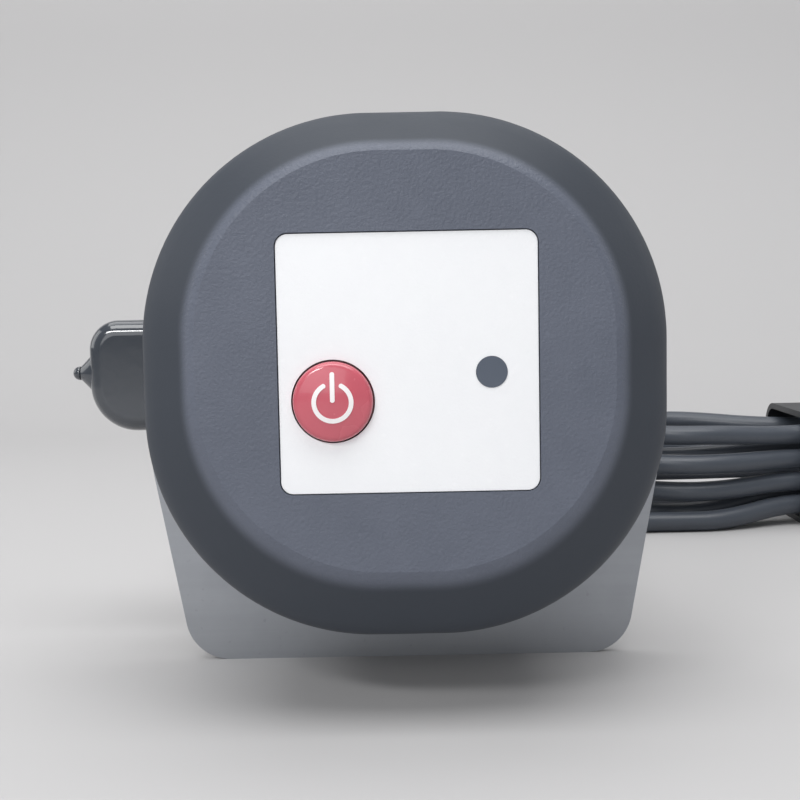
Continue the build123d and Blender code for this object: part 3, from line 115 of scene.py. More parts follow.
@dataclass
class NodeWriter:
    """Adds and joins nodes in one node tree.

    mix_inputs and mix_output are where a Mix node has its two colours and its mixed colour.
    """

    tree: bpy.types.NodeTree
    mix_inputs: tuple[int, int] = (6, 7)
    mix_output: int = 2

    def add(self, kind: str, **settings: object) -> bpy.types.Node:
        """Add a node and set its properties.

        Args:
            kind: The node's type name.
            **settings: Values for the node's own properties.

        Returns:
            The new node.
        """
        node = self.tree.nodes.new(kind)
        for key, value in settings.items():
            setattr(node, key, value)
        return node

    def join(self, source: bpy.types.NodeSocket, target: bpy.types.NodeSocket) -> None:
        """Join an output to an input."""
        self.tree.links.new(source, target)

    def math(
        self, operation: str, first: object, second: object = None, clamp: bool = False
    ) -> bpy.types.NodeSocket:
        """Add a Math node on two sockets or numbers.

        Args:
            operation: The Math node's operation.
            first: A socket or a number.
            second: A socket, a number, or None where the operation takes one value.
            clamp: Whether the result is kept from 0 to 1.

        Returns:
            The node's output.
        """
        node = self.add("ShaderNodeMath", operation=operation, use_clamp=clamp)
        for index, value in enumerate((first, second)):
            if isinstance(value, bpy.types.NodeSocket):
                self.join(value, node.inputs[index])
            elif value is not None:
                node.inputs[index].default_value = value
        return node.outputs[0]

    def noise(
        self, vector: bpy.types.NodeSocket, scale: object, detail: float, rough: float = 0.5
    ) -> bpy.types.NodeSocket:
        """Add a noise texture and return its value.

        Args:
            vector: The coordinates that it reads.
            scale: A number or a socket.
            detail: How many finer layers it has.
            rough: How strong the finer layers are.

        Returns:
            The noise's value.
        """
        node = self.add("ShaderNodeTexNoise")
        self.join(vector, node.inputs["Vector"])
        if isinstance(scale, bpy.types.NodeSocket):
            self.join(scale, node.inputs["Scale"])
        else:
            node.inputs["Scale"].default_value = scale
        node.inputs["Detail"].default_value = detail
        node.inputs["Roughness"].default_value = rough
        return node.outputs[0]

    def between(
        self, value: bpy.types.NodeSocket, low: float, high: float,
        to_low: float = 0.0, to_high: float = 1.0
    ) -> bpy.types.NodeSocket:
        """Stretch a value from one range to another, kept inside the second.

        Args:
            value: The value to stretch.
            low: Where the first range starts.
            high: Where the first range ends.
            to_low: Where the second range starts.
            to_high: Where the second range ends.

        Returns:
            The stretched value.
        """
        node = self.add("ShaderNodeMapRange")
        self.join(value, node.inputs["Value"])
        for key, number in (
            ("From Min", low), ("From Max", high), ("To Min", to_low), ("To Max", to_high)
        ):
            node.inputs[key].default_value = number
        return node.outputs["Result"]

    def mix(
        self, factor: bpy.types.NodeSocket, first: object, second: object
    ) -> bpy.types.NodeSocket:
        """Mix two colours.

        Args:
            factor: How much of the second colour shows.
            first: A colour or the socket of one.
            second: A colour or the socket of one.

        Returns:
            The mixed colour.
        """
        node = self.add("ShaderNodeMix", data_type="RGBA", blend_type="MIX")
        self.join(factor, node.inputs["Factor"])
        for index, colour in zip(self.mix_inputs, (first, second)):
            if isinstance(colour, bpy.types.NodeSocket):
                self.join(colour, node.inputs[index])
            else:
                node.inputs[index].default_value = colour
        return node.outputs[self.mix_output]


@dataclass
class Effects:
    """The node groups that several finishes share, each built once.

    Each noise has its detail, which is how many finer layers it has, its roughness, which is
    how strong those are, and its range, the part of its values that becomes 0 to 1.
    slow_share is the scale of the slow noise as a share of the fine one's.
    """

    fine_detail: float = 2.0
    fine_roughness: float = 0.6
    fine_range: tuple[float, float] = (0.3, 0.7)
    slow_share: float = 0.13
    slow_detail: float = 3.0
    slow_roughness: float = 0.55
    slow_range: tuple[float, float] = (0.32, 0.68)
    patch_detail: float = 4.0
    patch_roughness: float = 0.6
    patch_range: tuple[float, float] = (0.38, 0.68)
    speck_detail: float = 1.0
    speck_range: tuple[float, float] = (0.7, 0.78)

    def __post_init__(self) -> None:
        """Build the groups."""
        self.relief = self.make_relief()
        self.marks = self.make_marks()
        self.rim = self.make_rim()

    @staticmethod
    def start(
        name: str, inputs: dict[str, float], outputs: tuple[str, ...]
    ) -> tuple[bpy.types.NodeTree, NodeWriter, bpy.types.Node, bpy.types.Node]:
        """Start a node group with named inputs and outputs.

        Args:
            name: The group's name.
            inputs: Each number input's name and default. Vector is added in front.
            outputs: The names of its number outputs.

        Returns:
            The group, its writer, its input node and its output node.
        """
        group = bpy.data.node_groups.new(name, "ShaderNodeTree")
        face = group.interface
        face.new_socket(name="Vector", in_out="INPUT", socket_type="NodeSocketVector")
        for key, value in inputs.items():
            socket = face.new_socket(name=key, in_out="INPUT", socket_type="NodeSocketFloat")
            socket.default_value = value
        for key in outputs:
            face.new_socket(name=key, in_out="OUTPUT", socket_type="NodeSocketFloat")
        writer = NodeWriter(group)
        return group, writer, writer.add("NodeGroupInput"), writer.add("NodeGroupOutput")

    def make_relief(self) -> bpy.types.NodeTree:
        """Make the fine relief of a moulded, brushed or cast surface.

        Returns:
            The group, whose Height is 0 to 1 and whose Streak is a slow change along the grain.
        """
        group, nodes, inside, out = self.start(
            "Fine relief", {"Stretch X": 1.0, "Stretch Y": 1.0, "Stretch Z": 1.0, "Scale": 900.0},
            ("Height", "Streak"))
        split = nodes.add("ShaderNodeSeparateXYZ")
        nodes.join(inside.outputs["Vector"], split.inputs[0])
        merge = nodes.add("ShaderNodeCombineXYZ")
        for index, axis in enumerate("XYZ"):
            stretch = inside.outputs["Stretch " + axis]
            stretched = nodes.math("MULTIPLY", split.outputs[index], stretch)
            nodes.join(stretched, merge.inputs[index])
        fine = nodes.noise(
            merge.outputs[0], inside.outputs["Scale"], self.fine_detail, self.fine_roughness)
        slow_scale = nodes.math("MULTIPLY", inside.outputs["Scale"], self.slow_share)
        slow = nodes.noise(merge.outputs[0], slow_scale, self.slow_detail, self.slow_roughness)
        nodes.join(nodes.between(fine, *self.fine_range), out.inputs["Height"])
        nodes.join(nodes.between(slow, *self.slow_range), out.inputs["Streak"])
        return group

    def make_marks(self) -> bpy.types.NodeTree:
        """Make the faint dust, rubbed patches and specks that handling leaves.

        Returns:
            The group, whose Rub is a soft patchy mask and whose Dust is sparse specks.
        """
        group, nodes, inside, out = self.start(
            "Handling marks", {"Patch Scale": 45.0, "Speck Scale": 700.0}, ("Rub", "Dust"))
        place = inside.outputs["Vector"]
        patch = nodes.noise(
            place, inside.outputs["Patch Scale"], self.patch_detail, self.patch_roughness)
        speck = nodes.noise(place, inside.outputs["Speck Scale"], self.speck_detail)
        nodes.join(nodes.between(patch, *self.patch_range), out.inputs["Rub"])
        nodes.join(nodes.between(speck, *self.speck_range), out.inputs["Dust"])
        return group

    def make_rim(self) -> bpy.types.NodeTree:
        """Make the mask of a rim that lies behind a grained front face; the rim's colour is
        painted darker there as shade, and its roughness and relief change.

        Returns:
            The group, whose Rim is 0 on the face and 1 from the end of the edge back.
        """
        group, nodes, inside, out = self.start(
            "Painted rim shade and gloss mask", {"Start": 0.0, "End": 0.001}, ("Rim",))
        split = nodes.add("ShaderNodeSeparateXYZ")
        nodes.join(inside.outputs["Vector"], split.inputs[0])
        ramp = nodes.add("ShaderNodeMapRange", interpolation_type="SMOOTHSTEP")
        nodes.join(split.outputs["Y"], ramp.inputs["Value"])
        nodes.join(inside.outputs["Start"], ramp.inputs["From Min"])
        nodes.join(inside.outputs["End"], ramp.inputs["From Max"])
        nodes.join(ramp.outputs["Result"], out.inputs["Rim"])
        return group


@dataclass
class Finisher:
    """Makes each finish's material once, and puts it on pieces.

    brush_stretch draws the grain out along the brushing, rim_relief is the share of the
    relief that a rim keeps, and streak_share is how much the streaks add to the marks.
    Where a finish has no second colour, worn_gain and worn_lift make one from its own.
    worn_roughness is what the marks add to the roughness.
    """

    effects: Effects
    made: dict[str, bpy.types.Material] = field(default_factory=dict)
    brush_stretch: float = 0.02
    rim_relief: float = 0.12
    streak_share: float = 0.5
    worn_gain: float = 1.16
    worn_lift: float = 6.0
    worn_roughness: float = 0.22

    def material(self, finish: Finish, front: float = 0.0) -> bpy.types.Material:
        """Return the material of a finish, and make it the first time.

        Args:
            finish: The finish to make.
            front: Where the front of the piece lies along its own Y, in metres.

        Returns:
            Its material.
        """
        if finish.name in self.made:
            return self.made[finish.name]
        made = bpy.data.materials.new(finish.name)
        made.use_nodes = True
        made.node_tree.nodes.clear()
        nodes = NodeWriter(made.node_tree)
        shader = nodes.add("ShaderNodeBsdfPrincipled")
        end = nodes.add("ShaderNodeOutputMaterial")
        nodes.join(shader.outputs[0], end.inputs["Surface"])
        shader.inputs["Base Color"].default_value = linear(finish.colour)
        shader.inputs["Roughness"].default_value = finish.roughness
        shader.inputs["Metallic"].default_value = finish.metallic
        shader.inputs["Specular IOR Level"].default_value = finish.specular
        shader.inputs["Coat Weight"].default_value = finish.coat
        shader.inputs["Coat Roughness"].default_value = finish.coat_roughness
        made.diffuse_color = linear(finish.colour)
        place = nodes.add("ShaderNodeTexCoord").outputs["Object"]
        rim = self.rim_mask(nodes, finish, place, front) if finish.rim_shade_colour else None
        streak = self.add_relief(nodes, shader, finish, place, rim)
        if finish.marks:
            self.add_marks(nodes, shader, finish, (place, streak, rim))
        self.made[finish.name] = made
        return made

    def rim_mask(
        self, nodes: NodeWriter, finish: Finish, place: bpy.types.NodeSocket, front: float
    ) -> bpy.types.NodeSocket:
        """Add the mask of the rim behind a piece's front, where the rim's colour is painted
        darker as shade and its roughness and relief change.

        Args:
            nodes: The writer of the material's nodes.
            finish: The finish.
            place: The coordinates of the surface.
            front: Where the front lies along Y, in metres.

        Returns:
            The mask, 0 on the face and 1 on the rim.
        """
        group = nodes.add("ShaderNodeGroup", node_tree=self.effects.rim)
        nodes.join(place, group.inputs["Vector"])
        group.inputs["Start"].default_value = front + finish.rim_start * MM
        group.inputs["End"].default_value = front + finish.rim_end * MM
        return group.outputs["Rim"]

    def add_relief(
        self, nodes: NodeWriter, shader: bpy.types.Node, finish: Finish,
        place: bpy.types.NodeSocket, rim: bpy.types.NodeSocket | None
    ) -> bpy.types.NodeSocket | None:
        """Add the finish's fine relief to its normals.

        Args:
            nodes: The writer of the material's nodes.
            shader: The material's shader.
            finish: The finish.
            place: The coordinates of the surface.
            rim: The mask of a polished rim, where the relief fades, or None.

        Returns:
            The slow change along the grain, or None on a smooth finish.
        """
        if finish.surface is Surface.SMOOTH:
            return None
        group = nodes.add("ShaderNodeGroup", node_tree=self.effects.relief)
        nodes.join(place, group.inputs["Vector"])
        group.inputs["Scale"].default_value = 1 / (finish.grain_size * MM)
        if finish.surface is Surface.BRUSHED:
            along = "Stretch " + "XYZ"[finish.brush_axis]
            group.inputs[along].default_value = self.brush_stretch
        bump = nodes.add("ShaderNodeBump")
        bump.inputs["Strength"].default_value = 1.0
        bump.inputs["Distance"].default_value = finish.relief * MM
        if rim is not None:
            kept = nodes.between(rim, 0.0, 1.0, 1.0, self.rim_relief)
            nodes.join(kept, bump.inputs["Strength"])
        nodes.join(group.outputs["Height"], bump.inputs["Height"])
        nodes.join(bump.outputs["Normal"], shader.inputs["Normal"])
        return group.outputs["Streak"]

    def add_marks(
        self, nodes: NodeWriter, shader: bpy.types.Node, finish: Finish,
        sources: tuple[bpy.types.NodeSocket, ...]
    ) -> None:
        """Let handling, dust and streaks change the colour and the gloss, paint shade on the rim
        with a darker colour, and give the rim its own roughness.

        Args:
            nodes: The writer of the material's nodes.
            shader: The material's shader.
            finish: The finish.
            sources: The coordinates, the slow change along the grain and the rim's mask. The
                last two may be None.
        """
        place, streak, rim = sources
        group = nodes.add("ShaderNodeGroup", node_tree=self.effects.marks)
        nodes.join(place, group.inputs["Vector"])
        rub = nodes.math("MULTIPLY", group.outputs["Rub"], finish.marks)
        if streak is not None:
            worn = nodes.math("MULTIPLY", streak, self.streak_share * finish.marks)
            rub = nodes.math("ADD", rub, worn)
        dust = nodes.math("MULTIPLY", group.outputs["Dust"], finish.marks)
        both = nodes.math("ADD", rub, dust, clamp=True)
        other = finish.second_colour or tuple(
            min(255.0, self.worn_gain * level + self.worn_lift) for level in finish.colour)
        colour = nodes.mix(both, linear(finish.colour), linear(other))
        rough = nodes.between(
            both, 0.0, 1.0, finish.roughness, min(1.0, finish.roughness + self.worn_roughness))
        if rim is not None:
            # Painted shade: the rim takes a darker colour than the face, standing in for the dark
            # that the rim band catches.
            colour = nodes.mix(rim, colour, linear(finish.rim_shade_colour))
            polished = nodes.math("MULTIPLY", rim, finish.rim_roughness - finish.roughness)
            rough = nodes.math("ADD", rough, polished)
        nodes.join(colour, shader.inputs["Base Color"])
        nodes.join(rough, shader.inputs["Roughness"])

    def dress(self, piece: bpy.types.Object, finish: Finish) -> None:
        """Put a finish on every slot of a piece.

        Args:
            piece: The piece.
            finish: The finish.
        """
        material = self.material(finish, min(corner[1] for corner in piece.bound_box))
        slots = piece.material_slots
        if not slots:
            piece.data.materials.append(material)
            return
        for one in slots:
            one.material = material


# The cap's rim colour is painted shade: darker than its face to stand in for the dark that the
# rim band catches.
CAP_PLASTIC = Finish(
    "cap_plastic", (94, 99, 111), 0.34, surface=Surface.MOULDED, grain_size=0.6, relief=0.06,
    marks=0.2, second_colour=(114, 119, 132), specular=0.3, rim_shade_colour=(58, 63, 71))
SHELL_PLASTIC = Finish(
    "shell_plastic", (72, 76, 84), 0.5, surface=Surface.MOULDED, grain_size=0.5, relief=0.012,
    marks=0.16)
LABEL_SILVER = Finish(
    "label_silver", (243, 244, 246), 0.42, metallic=0.1, surface=Surface.MOULDED,
    grain_size=0.35, relief=0.014, marks=0.2, second_colour=(251, 252, 253))
BUTTON_RED = Finish(
    "button_red", (196, 88, 102), 0.26, marks=0.2, second_colour=(208, 118, 128), coat=0.6)
SYMBOL_WHITE = Finish("symbol_white", (244, 240, 240), 0.35)
LENS_SMOKE = Finish("lens_smoke", (82, 90, 103), 0.22, coat=0.4)
SEAL_RUBBER = Finish(
    "seal_rubber", (46, 47, 50), 0.72, surface=Surface.MOULDED, grain_size=0.4, relief=0.01,
    marks=0.2)
STAINLESS = Finish(
    "stainless_steel", (168, 171, 176), 0.36, metallic=1.0, surface=Surface.BRUSHED,
    grain_size=0.28, relief=0.004, marks=0.3, second_colour=(146, 149, 155), brush_axis=0)
BOLT_STEEL = Finish(
    "bolt_steel", (176, 178, 180), 0.3, metallic=1.0, surface=Surface.CAST, grain_size=0.9,
    relief=0.006, marks=0.25)
SPRING_STEEL = Finish("spring_steel", (160, 162, 166), 0.28, metallic=1.0)
BOARD_GREEN = Finish(
    "board_green", (32, 92, 58), 0.38, surface=Surface.MOULDED, grain_size=1.2, relief=0.01,
    marks=0.15)
PART_BLACK = Finish("part_black", (44, 44, 46), 0.55, marks=0.1)
SHIELD_TIN = Finish("shield_tin", (190, 190, 186), 0.32, metallic=1.0, marks=0.2)
TERMINAL_GREEN = Finish("terminal_green", (44, 118, 70), 0.5, marks=0.1)
GEAR_STEEL = Finish(
    "gear_steel", (134, 134, 134), 0.38, metallic=1.0, surface=Surface.CAST, grain_size=0.5,
    relief=0.008, marks=0.25)
GEAR_ACETAL = Finish("gear_acetal", (224, 221, 208), 0.42, marks=0.15)
GEAR_BRASS = Finish(
    "gear_brass", (205, 170, 106), 0.3, metallic=1.0, surface=Surface.CAST, grain_size=0.7,
    relief=0.004, marks=0.25)
MOTOR_ZINC = Finish(
    "motor_zinc", (176, 177, 176), 0.34, metallic=1.0, surface=Surface.BRUSHED, grain_size=0.3,
    relief=0.003, marks=0.25, brush_axis=1)
SWITCH_BLACK = Finish("switch_black", (50, 50, 52), 0.5, marks=0.1)
FORK_ALUMINIUM = Finish(
    "fork_aluminium", (188, 190, 194), 0.42, metallic=1.0, surface=Surface.CAST, grain_size=0.35,
    relief=0.008, marks=0.2)
VALVE_NICKEL = Finish(
    "valve_nickel", (186, 182, 172), 0.34, metallic=1.0, surface=Surface.CAST, grain_size=0.8,
    relief=0.02, marks=0.3, second_colour=(160, 154, 142))
BALL_CHROME = Finish("ball_chrome", (225, 225, 225), 0.08, metallic=1.0)
SEAT_WHITE = Finish("seat_white", (232, 232, 228), 0.5, marks=0.1)
LEVER_STEEL = Finish(
    "lever_steel", (172, 174, 178), 0.34, metallic=1.0, surface=Surface.BRUSHED, grain_size=0.3,
    relief=0.003, marks=0.25, brush_axis=0)
GRIP_VINYL = Finish(
    "grip_vinyl", (54, 59, 66), 0.12, surface=Surface.CAST, grain_size=3.4, relief=0.02,
    marks=0.08, coat=1.0)
LEAD_BLACK = Finish(
    "lead_black", (68, 73, 81), 0.34, surface=Surface.MOULDED, grain_size=0.7, relief=0.01,
    marks=0.12)
TIE_BLACK = Finish("tie_black", (36, 38, 42), 0.45, marks=0.15)
PLUG_BLACK = Finish(
    "plug_black", (38, 39, 42), 0.48, surface=Surface.MOULDED, grain_size=0.4, relief=0.01,
    marks=0.12)
BARREL_NICKEL = Finish("barrel_nickel", (214, 211, 203), 0.16, metallic=1.0, marks=0.1)

FINISHES = (
    CAP_PLASTIC, SHELL_PLASTIC, LABEL_SILVER, BUTTON_RED, SYMBOL_WHITE, LENS_SMOKE, SEAL_RUBBER,
    STAINLESS, BOLT_STEEL, SPRING_STEEL, BOARD_GREEN, PART_BLACK, SHIELD_TIN, TERMINAL_GREEN,
    GEAR_STEEL, GEAR_ACETAL, GEAR_BRASS, MOTOR_ZINC, SWITCH_BLACK, FORK_ALUMINIUM, VALVE_NICKEL,
    BALL_CHROME, SEAT_WHITE, LEVER_STEEL, GRIP_VINYL, LEAD_BLACK, TIE_BLACK, PLUG_BLACK,
    BARREL_NICKEL,
)


@dataclass
class PhotoCamera:
    """The camera, where the photograph was taken from. In millimetres and degrees."""

    place: Point = (-1.0, -303.4, 76.0)
    pitch_down: float = 5.0
    roll: float = 1.1
    lens: float = 59.6
    sensor: float = 36.0
    near: float = 10.0
    far: float = 20000.0

    def build(self) -> bpy.types.Object:
        """Make the camera and set it as the scene's own.

        Returns:
            The camera's object.
        """
        data = bpy.data.cameras.new("photo_camera")
        data.lens = self.lens
        data.sensor_width = self.sensor
        data.clip_start = self.near * MM
        data.clip_end = self.far * MM
        camera = bpy.data.objects.new("photo_camera", data)
        bpy.context.scene.collection.objects.link(camera)
        level = Matrix.Rotation(math.radians(90 - self.pitch_down), 4, "X")
        tilt = Matrix.Rotation(math.radians(-self.roll), 4, "Z")
        camera.matrix_world = Matrix.Translation(metres(self.place)) @ level @ tilt
        bpy.context.scene.camera = camera
        return camera


@dataclass
class Lead:
    """The lead: the run from the gland to the hank, and the hank. Lengths in millimetres.

    The hank's strands go to and fro between two folds, and are drawn in at their waist, by
    the tie. half_length is from the hank's middle to its innermost fold, and fold_radius and
    waist_half are half the innermost loop's width at a fold and at the waist. loop_step and
    waist_step are outwards to the next loop, and fold_layer_step and layer_step are up to the
    next layer, each at a fold and at the waist. waist_lift raises the strands at the waist.
    end_lift, tail_rise and tail_steps place the tail that lies on top. fold_angle is between
    the points round a fold, in degrees. fold_share, shoulder_share and waist_share are parts
    of a half turn, and waist_reach is from the middle to the points beside the tie.
    """

    finisher: Finisher
    diameter: float = 6.0
    length: float = 1717.0
    half_length: float = 57.0
    fold_radius: float = 18.0
    waist_half: float = 9.5
    loop_step: float = 8.2
    waist_step: float = 8.6
    layer_step: float = 6.9
    fold_layer_step: float = 8.6
    waist_lift: float = 3.5
    end_lift: float = 1.6
    layers: int = 4
    half_turns_per_layer: int = 3
    bevel_steps: int = 4
    curve_steps: int = 5
    fold_angle: float = 36.0
    fold_share: float = 0.2
    waist_reach: float = 9.75
    shoulder_share: float = 0.28
    waist_share: float = 0.08
    tail_rise: float = 5.6
    tail_steps: tuple[float, ...] = (6.0, 21.0, 28.0, 34.5)
    centre: tuple[float, float] = (127.0, 117.0)
    exit: Point = (33.0, -23.0, 48.0)
    run: tuple[Point, ...] = (
        (33.0, -23.0, 48.0), (33.0, -12.5, 48.0), (34.3, -2.6, 44.6), (36.8, 5.6, 37.4),
        (39.8, 11.4, 28.2), (42.4, 17.6, 18.8), (43.8, 26.2, 10.6), (44.0, 37.4, 5.2),
        (43.4, 51.0, 3.0), (43.4, 66.0, 3.0), (46.8, 78.2, 3.0), (56.0, 87.4, 3.0),
        (69.5, 91.62, 3.0), (82.0, 91.62, 3.0),
    )

    def level(self, half_turns: float) -> tuple[float, float]:
        """Find how far out and how high up the strand is after some half turns.

        Args:
            half_turns: Half turns from the hank's start.

        Returns:
            Steps out from the innermost loop, and layers up.
        """
        spiral = self.half_turns_per_layer - 1
        layer = int(half_turns // self.half_turns_per_layer)
        within = half_turns - layer * self.half_turns_per_layer
        moved = min(within, spiral) / 2
        climb = max(within - spiral, 0)
        step = spiral / 2 - moved if layer % 2 == 0 else moved
        return step, layer + climb

    def fold_point(self, turn: int, angle: float) -> Point:
        """Place a control point round the fold that starts a half turn.

        Args:
            turn: The half turn that the fold starts.
            angle: Degrees round the fold from its tip.

        Returns:
            The point, in millimetres.
        """
        side = -1 if turn % 2 == 0 else 1
        step, layer = self.level(turn + angle / 90 * self.fold_share)
        radius = self.fold_radius + step * self.loop_step
        reach = radius / math.cos(math.radians(self.fold_angle / 2))
        along = self.half_length - self.fold_radius + reach * math.cos(math.radians(angle))
        across = reach * math.sin(math.radians(angle))
        height = self.diameter / 2 + layer * self.fold_layer_step
        return (self.centre[0] + side * along, self.centre[1] + side * across, height)

    def waist_points(self, turn: int) -> list[Point]:
        """Place the control points between the folds of one half turn.

        Args:
            turn: The half turn.

        Returns:
            The points before, at and after the waist, in millimetres.
        """
        side = -1 if turn % 2 == 0 else 1
        points = []
        for end in (-1, 1):
            share = 0.5 + end * self.shoulder_share
            step, layer = self.level(turn + share)
            radius = self.fold_radius + step * self.loop_step
            tangent = radius * math.tan(math.radians(self.fold_angle / 2))
            along = self.half_length - self.fold_radius - tangent
            shoulder = (
                self.centre[0] - side * end * along, self.centre[1] + side * radius,
                self.diameter / 2 + layer * self.fold_layer_step)
            step, layer = self.level(turn + 0.5 + end * self.waist_share)
            across = self.waist_half + step * self.waist_step
            waist = (
                self.centre[0] - side * end * self.waist_reach, self.centre[1] + side * across,
                self.diameter / 2 + self.waist_lift + layer * self.layer_step)
            points += [shoulder, waist] if end < 0 else [waist, shoulder]
        return points

    def route(self) -> list[Point]:
        """List the control points of the whole lead, from the gland to the plug.

        Returns:
            The points, in millimetres.
        """
        points = list(self.run)
        # The top layer leaves out its last strand, and strands count from 0.
        last = self.layers * self.half_turns_per_layer - 2
        for turn in range(last + 1):
            if turn:
                points += [self.fold_point(turn, step * self.fold_angle) for step in range(-2, 3)]
            waist = self.waist_points(turn)
            points += waist if turn < last else waist[:2]
        _, y, z = points[-1]
        top = self.diameter + (self.layers - 1) * self.fold_layer_step + self.tail_rise
        levels = (z + self.end_lift, top, top, top)
        points += [
            (self.centre[0] + step, y, level) for step, level in zip(self.tail_steps, levels)]
        return points

    def build(self) -> bpy.types.Object:
        """Returns:
            The lead's curve.
        """
        data = bpy.data.curves.new("lead", "CURVE")
        data.dimensions = "3D"
        data.bevel_depth = self.diameter / 2 * MM
        data.bevel_resolution = self.bevel_steps
        data.resolution_u = self.curve_steps
        data.use_fill_caps = True
        route = self.route()
        spline = data.splines.new("NURBS")
        spline.points.add(len(route) - 1)
        for point, place in zip(spline.points, route):
            point.co = (*metres(place), 1.0)
        spline.order_u = 3
        spline.use_endpoint_u = True
        lead = bpy.data.objects.new("lead", data)
        bpy.context.scene.collection.objects.link(lead)
        self.finisher.dress(lead, LEAD_BLACK)
        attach(lead, "housing")
        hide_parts("lead_run", "lead_hank")
        return lead


@dataclass(frozen=True)
class LampSpec:
    """One soft lamp: its name, place, aim and sides in metres, and its power in watts."""

    name: str
    place: Point
    aim: Point
    width: float
    height: float
    power: float


@dataclass
class Studio:
    """The pale table, the wall behind it and the lamps. Lengths are in metres."""

    floor_colour: Colour = (189, 188, 188)
    floor_roughness: float = 0.6
    floor_specular: float = 0.3
    half_width: float = 3.0
    front: float = -2.2
    wall_y: float = 0.62
    wall_height: float = 3.0
    sweep_radius: float = 0.25
    sweep_steps: int = 16
    world_colour: Colour = (224, 227, 232)
    world_strength: float = 0.36
    lamps: tuple[LampSpec, ...] = (
        LampSpec("ceiling_front", (0.0, -0.35, 0.9), (0.0, -0.35, 0.0), 1.0, 0.5, 6.6),
        LampSpec("ceiling_back", (0.0, 0.25, 0.8), (0.0, 0.25, 0.0), 1.0, 0.5, 2.8),
        LampSpec("window", (-0.34, -0.64, 0.5), (0.0, -0.06, 0.06), 0.34, 0.08, 2.1),
        LampSpec("left_wall", (-0.9, 0.15, 0.4), (0.0, 0.3, 0.1), 0.6, 0.6, 1.5),
        LampSpec("right_wall", (0.9, 0.2, 0.4), (0.2, 0.45, 0.1), 0.6, 0.6, 1.3),
        LampSpec("front", (-0.3, -1.4, 0.42), (0.0, 0.0, 0.06), 1.0, 0.6, 2.7),
    )

    def build(self) -> None:
        """Make the stage, the lamps and the world."""
        self.make_stage()
        self.make_lamps()
        self.make_world()

    def make_stage(self) -> None:
        """Make the table and the wall as one swept sheet."""
        profile = [(self.front, 0.0)]
        start = self.wall_y - self.sweep_radius
        for step in range(self.sweep_steps + 1):
            turn = math.pi / 2 * step / self.sweep_steps
            profile.append((
                start + self.sweep_radius * math.sin(turn),
                self.sweep_radius * (1 - math.cos(turn))))
        profile.append((self.wall_y, self.wall_height))
        points = [(side * self.half_width, y, z) for y, z in profile for side in (-1, 1)]
        count = len(profile)
        faces = [(2 * i, 2 * i + 1, 2 * i + 3, 2 * i + 2) for i in range(count - 1)]
        mesh = bpy.data.meshes.new("stage")
        mesh.from_pydata(points, [], faces)
        mesh.shade_smooth()
        stage = bpy.data.objects.new("stage", mesh)
        bpy.context.scene.collection.objects.link(stage)
        material = bpy.data.materials.new("stage")
        material.use_nodes = True
        shader = material.node_tree.nodes["Principled BSDF"]
        shader.inputs["Base Color"].default_value = linear(self.floor_colour)
        shader.inputs["Roughness"].default_value = self.floor_roughness
        shader.inputs["Specular IOR Level"].default_value = self.floor_specular
        mesh.materials.append(material)

    def make_lamps(self) -> None:
        """Make the soft lamps: overhead, a window at the upper left, both sides and front."""
        for spec in self.lamps:
            data = bpy.data.lights.new(spec.name, "AREA")
            data.shape = "RECTANGLE"
            data.energy = spec.power
            data.size = spec.width
            data.size_y = spec.height
            lamp = bpy.data.objects.new(spec.name, data)
            bpy.context.scene.collection.objects.link(lamp)
            lamp.location = spec.place
            ray = Vector(spec.aim) - Vector(spec.place)
            lamp.rotation_euler = ray.to_track_quat("-Z", "Y").to_euler()

    def make_world(self) -> None:
        """Make the even light that comes from all round."""
        world = bpy.data.worlds.new("studio")
        world.use_nodes = True
        light = world.node_tree.nodes["Background"]
        light.inputs["Color"].default_value = linear(self.world_colour)
        light.inputs["Strength"].default_value = self.world_strength
        bpy.context.scene.world = world


@dataclass(frozen=True)
class ThreadRun:
    """One stretch of screw thread. Lengths are in millimetres.

    start is on the thread's axis, radius is that of the plain cylinder that it's on, and a
    negative height makes the ridge of a hole.
    """

    start: Point
    axis: Point
    length: float
    radius: float
    pitch: float
    height: float


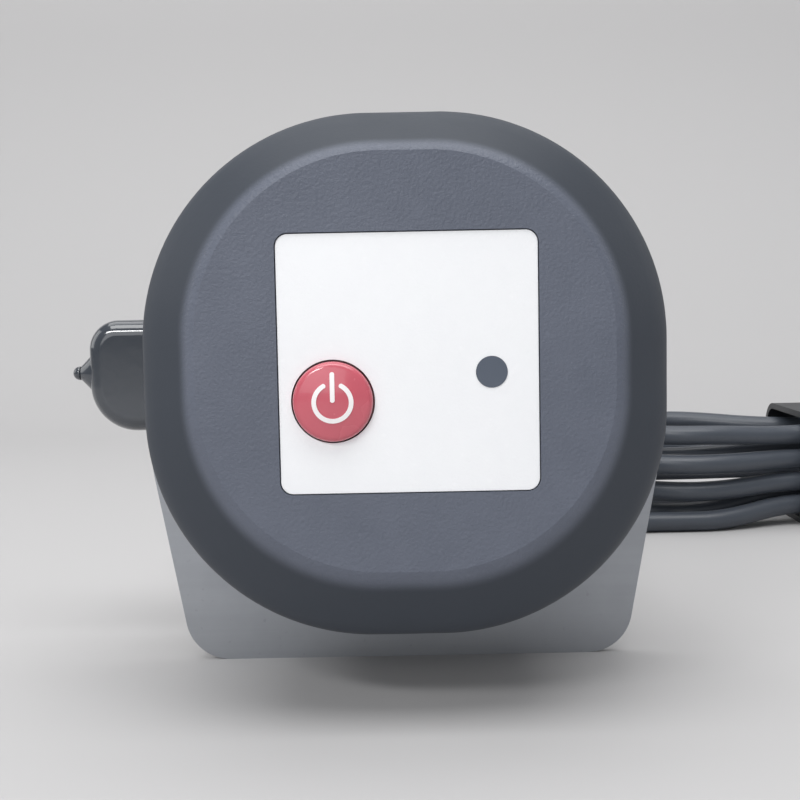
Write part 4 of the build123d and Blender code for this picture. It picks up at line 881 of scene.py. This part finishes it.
@dataclass
class Threads:
    """The ridges of the screw threads that show. Lengths are in millimetres.

    flank_share is half a ridge's width as a share of its pitch, and overlap sinks its edges
    into the part. The port fields are of the valve's two ports, whose axis is at valve_y and
    axis_height, and the leg fields are of the clamps' four legs.
    """

    finisher: Finisher
    steps_per_turn: int = 28
    flank_share: float = 0.42
    overlap: float = 0.05
    valve_y: float = 19.0
    axis_height: float = 57.4
    port_mouth: float = 28.0
    port_radius: float = 9.32
    port_length: float = 12.0
    port_pitch: float = 1.81
    port_height: float = 0.42
    port_inset: float = 0.4
    leg_x: float = 16.0
    leg_rise: float = 14.55
    leg_radius: float = 2.5
    leg_start: float = 24.0
    leg_end: float = 47.6
    leg_pitch: float = 0.8
    leg_height: float = 0.12

    def ridge(self, run: ThreadRun) -> tuple[list[Vector], list[tuple[int, ...]]]:
        """Work out the points and faces of one helical ridge.

        Args:
            run: The stretch of thread.

        Returns:
            The points in metres, and the faces.
        """
        count = int(run.length / run.pitch * self.steps_per_turn)
        facing = Vector(run.axis).to_track_quat("Z", "Y")
        half = run.pitch * self.flank_share
        sunk = -self.overlap if run.height > 0 else self.overlap
        points = []
        for index in range(count + 1):
            angle = 2 * math.pi * index / self.steps_per_turn
            along = run.pitch * index / self.steps_per_turn
            fade = min(1.0, index / self.steps_per_turn, (count - index) / self.steps_per_turn)
            for shift, rise in ((-half, sunk), (0.0, run.height * fade), (half, sunk)):
                reach = run.radius + rise
                local = Vector((
                    reach * math.cos(angle), reach * math.sin(angle),
                    min(max(along + shift, 0.0), run.length)))
                points.append((facing @ local + Vector(run.start)) * MM)
        faces = []
        for index in range(count):
            a, b = 3 * index, 3 * (index + 1)
            faces += [(a, a + 1, b + 1, b), (a + 1, a + 2, b + 2, b + 1), (a + 2, a, b, b + 2)]
        last = 3 * count
        faces += [(2, 1, 0), (last, last + 1, last + 2)]
        return points, faces

    def piece(self, name: str, runs: list[ThreadRun], finish: Finish) -> bpy.types.Object:
        """Make one piece from several stretches of thread.

        Args:
            name: The piece's name.
            runs: The stretches.
            finish: The finish of the part that the thread is on.

        Returns:
            The piece, riding on the housing's body.
        """
        points: list[Vector] = []
        faces: list[tuple[int, ...]] = []
        for run in runs:
            more_points, more_faces = self.ridge(run)
            faces += [tuple(index + len(points) for index in face) for face in more_faces]
            points += more_points
        mesh = bpy.data.meshes.new(name)
        mesh.from_pydata([tuple(point) for point in points], [], faces)
        mesh.update()
        piece = bpy.data.objects.new(name, mesh)
        bpy.context.scene.collection.objects.link(piece)
        self.finisher.dress(piece, finish)
        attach(piece, "housing")
        return piece

    def build(self) -> list[bpy.types.Object]:
        """Make the threads of the ports and of the clamps' legs.

        Returns:
            The two pieces.
        """
        start = self.port_mouth - self.port_length - self.port_inset
        ports = [
            ThreadRun(
                (side * start, self.valve_y, self.axis_height), (side, 0.0, 0.0),
                self.port_length, self.port_radius, self.port_pitch, -self.port_height)
            for side in (-1, 1)]
        legs = [
            ThreadRun(
                (sx * self.leg_x, self.leg_start, self.axis_height + sz * self.leg_rise),
                (0.0, 1.0, 0.0), self.leg_end - self.leg_start, self.leg_radius,
                self.leg_pitch, self.leg_height)
            for sx in (-1, 1) for sz in (-1, 1)]
        return [
            self.piece("port_threads", ports, VALVE_NICKEL),
            self.piece("clamp_threads", legs, STAINLESS)]


@dataclass
class CadDresser:
    """Puts each CAD node's finish on it, by the record's slots."""

    finisher: Finisher

    def build(self) -> int:
        """Dress every node.

        Returns:
            How many nodes were dressed.
        """
        by_name = {finish.name: finish for finish in FINISHES}
        parts = frame["record"]["subparts"]
        for part in parts:
            self.finisher.dress(frame["nodes"][part["node"]], by_name[part["material_slot"]])
        return len(parts)


def main() -> None:
    """Build the camera, the lead and the studio, dress the CAD nodes and add the threads."""
    logging.basicConfig(level=logging.INFO, format="%(name)s: %(message)s")
    bpy.context.scene.view_settings.view_transform = "Standard"
    camera = PhotoCamera().build()
    LOG.info("camera %s with a %.1f mm lens", camera.name, camera.data.lens)
    finisher = Finisher(Effects())
    lead = Lead(finisher).build()
    LOG.info("lead %s with %d points", lead.name, len(lead.data.splines[0].points))
    Studio().build()
    LOG.info("studio built")
    LOG.info("finished %d nodes", CadDresser(finisher).build())
    for piece in Threads(finisher).build():
        LOG.info("piece %s", piece.name)


if __name__ == "__main__":
    main()
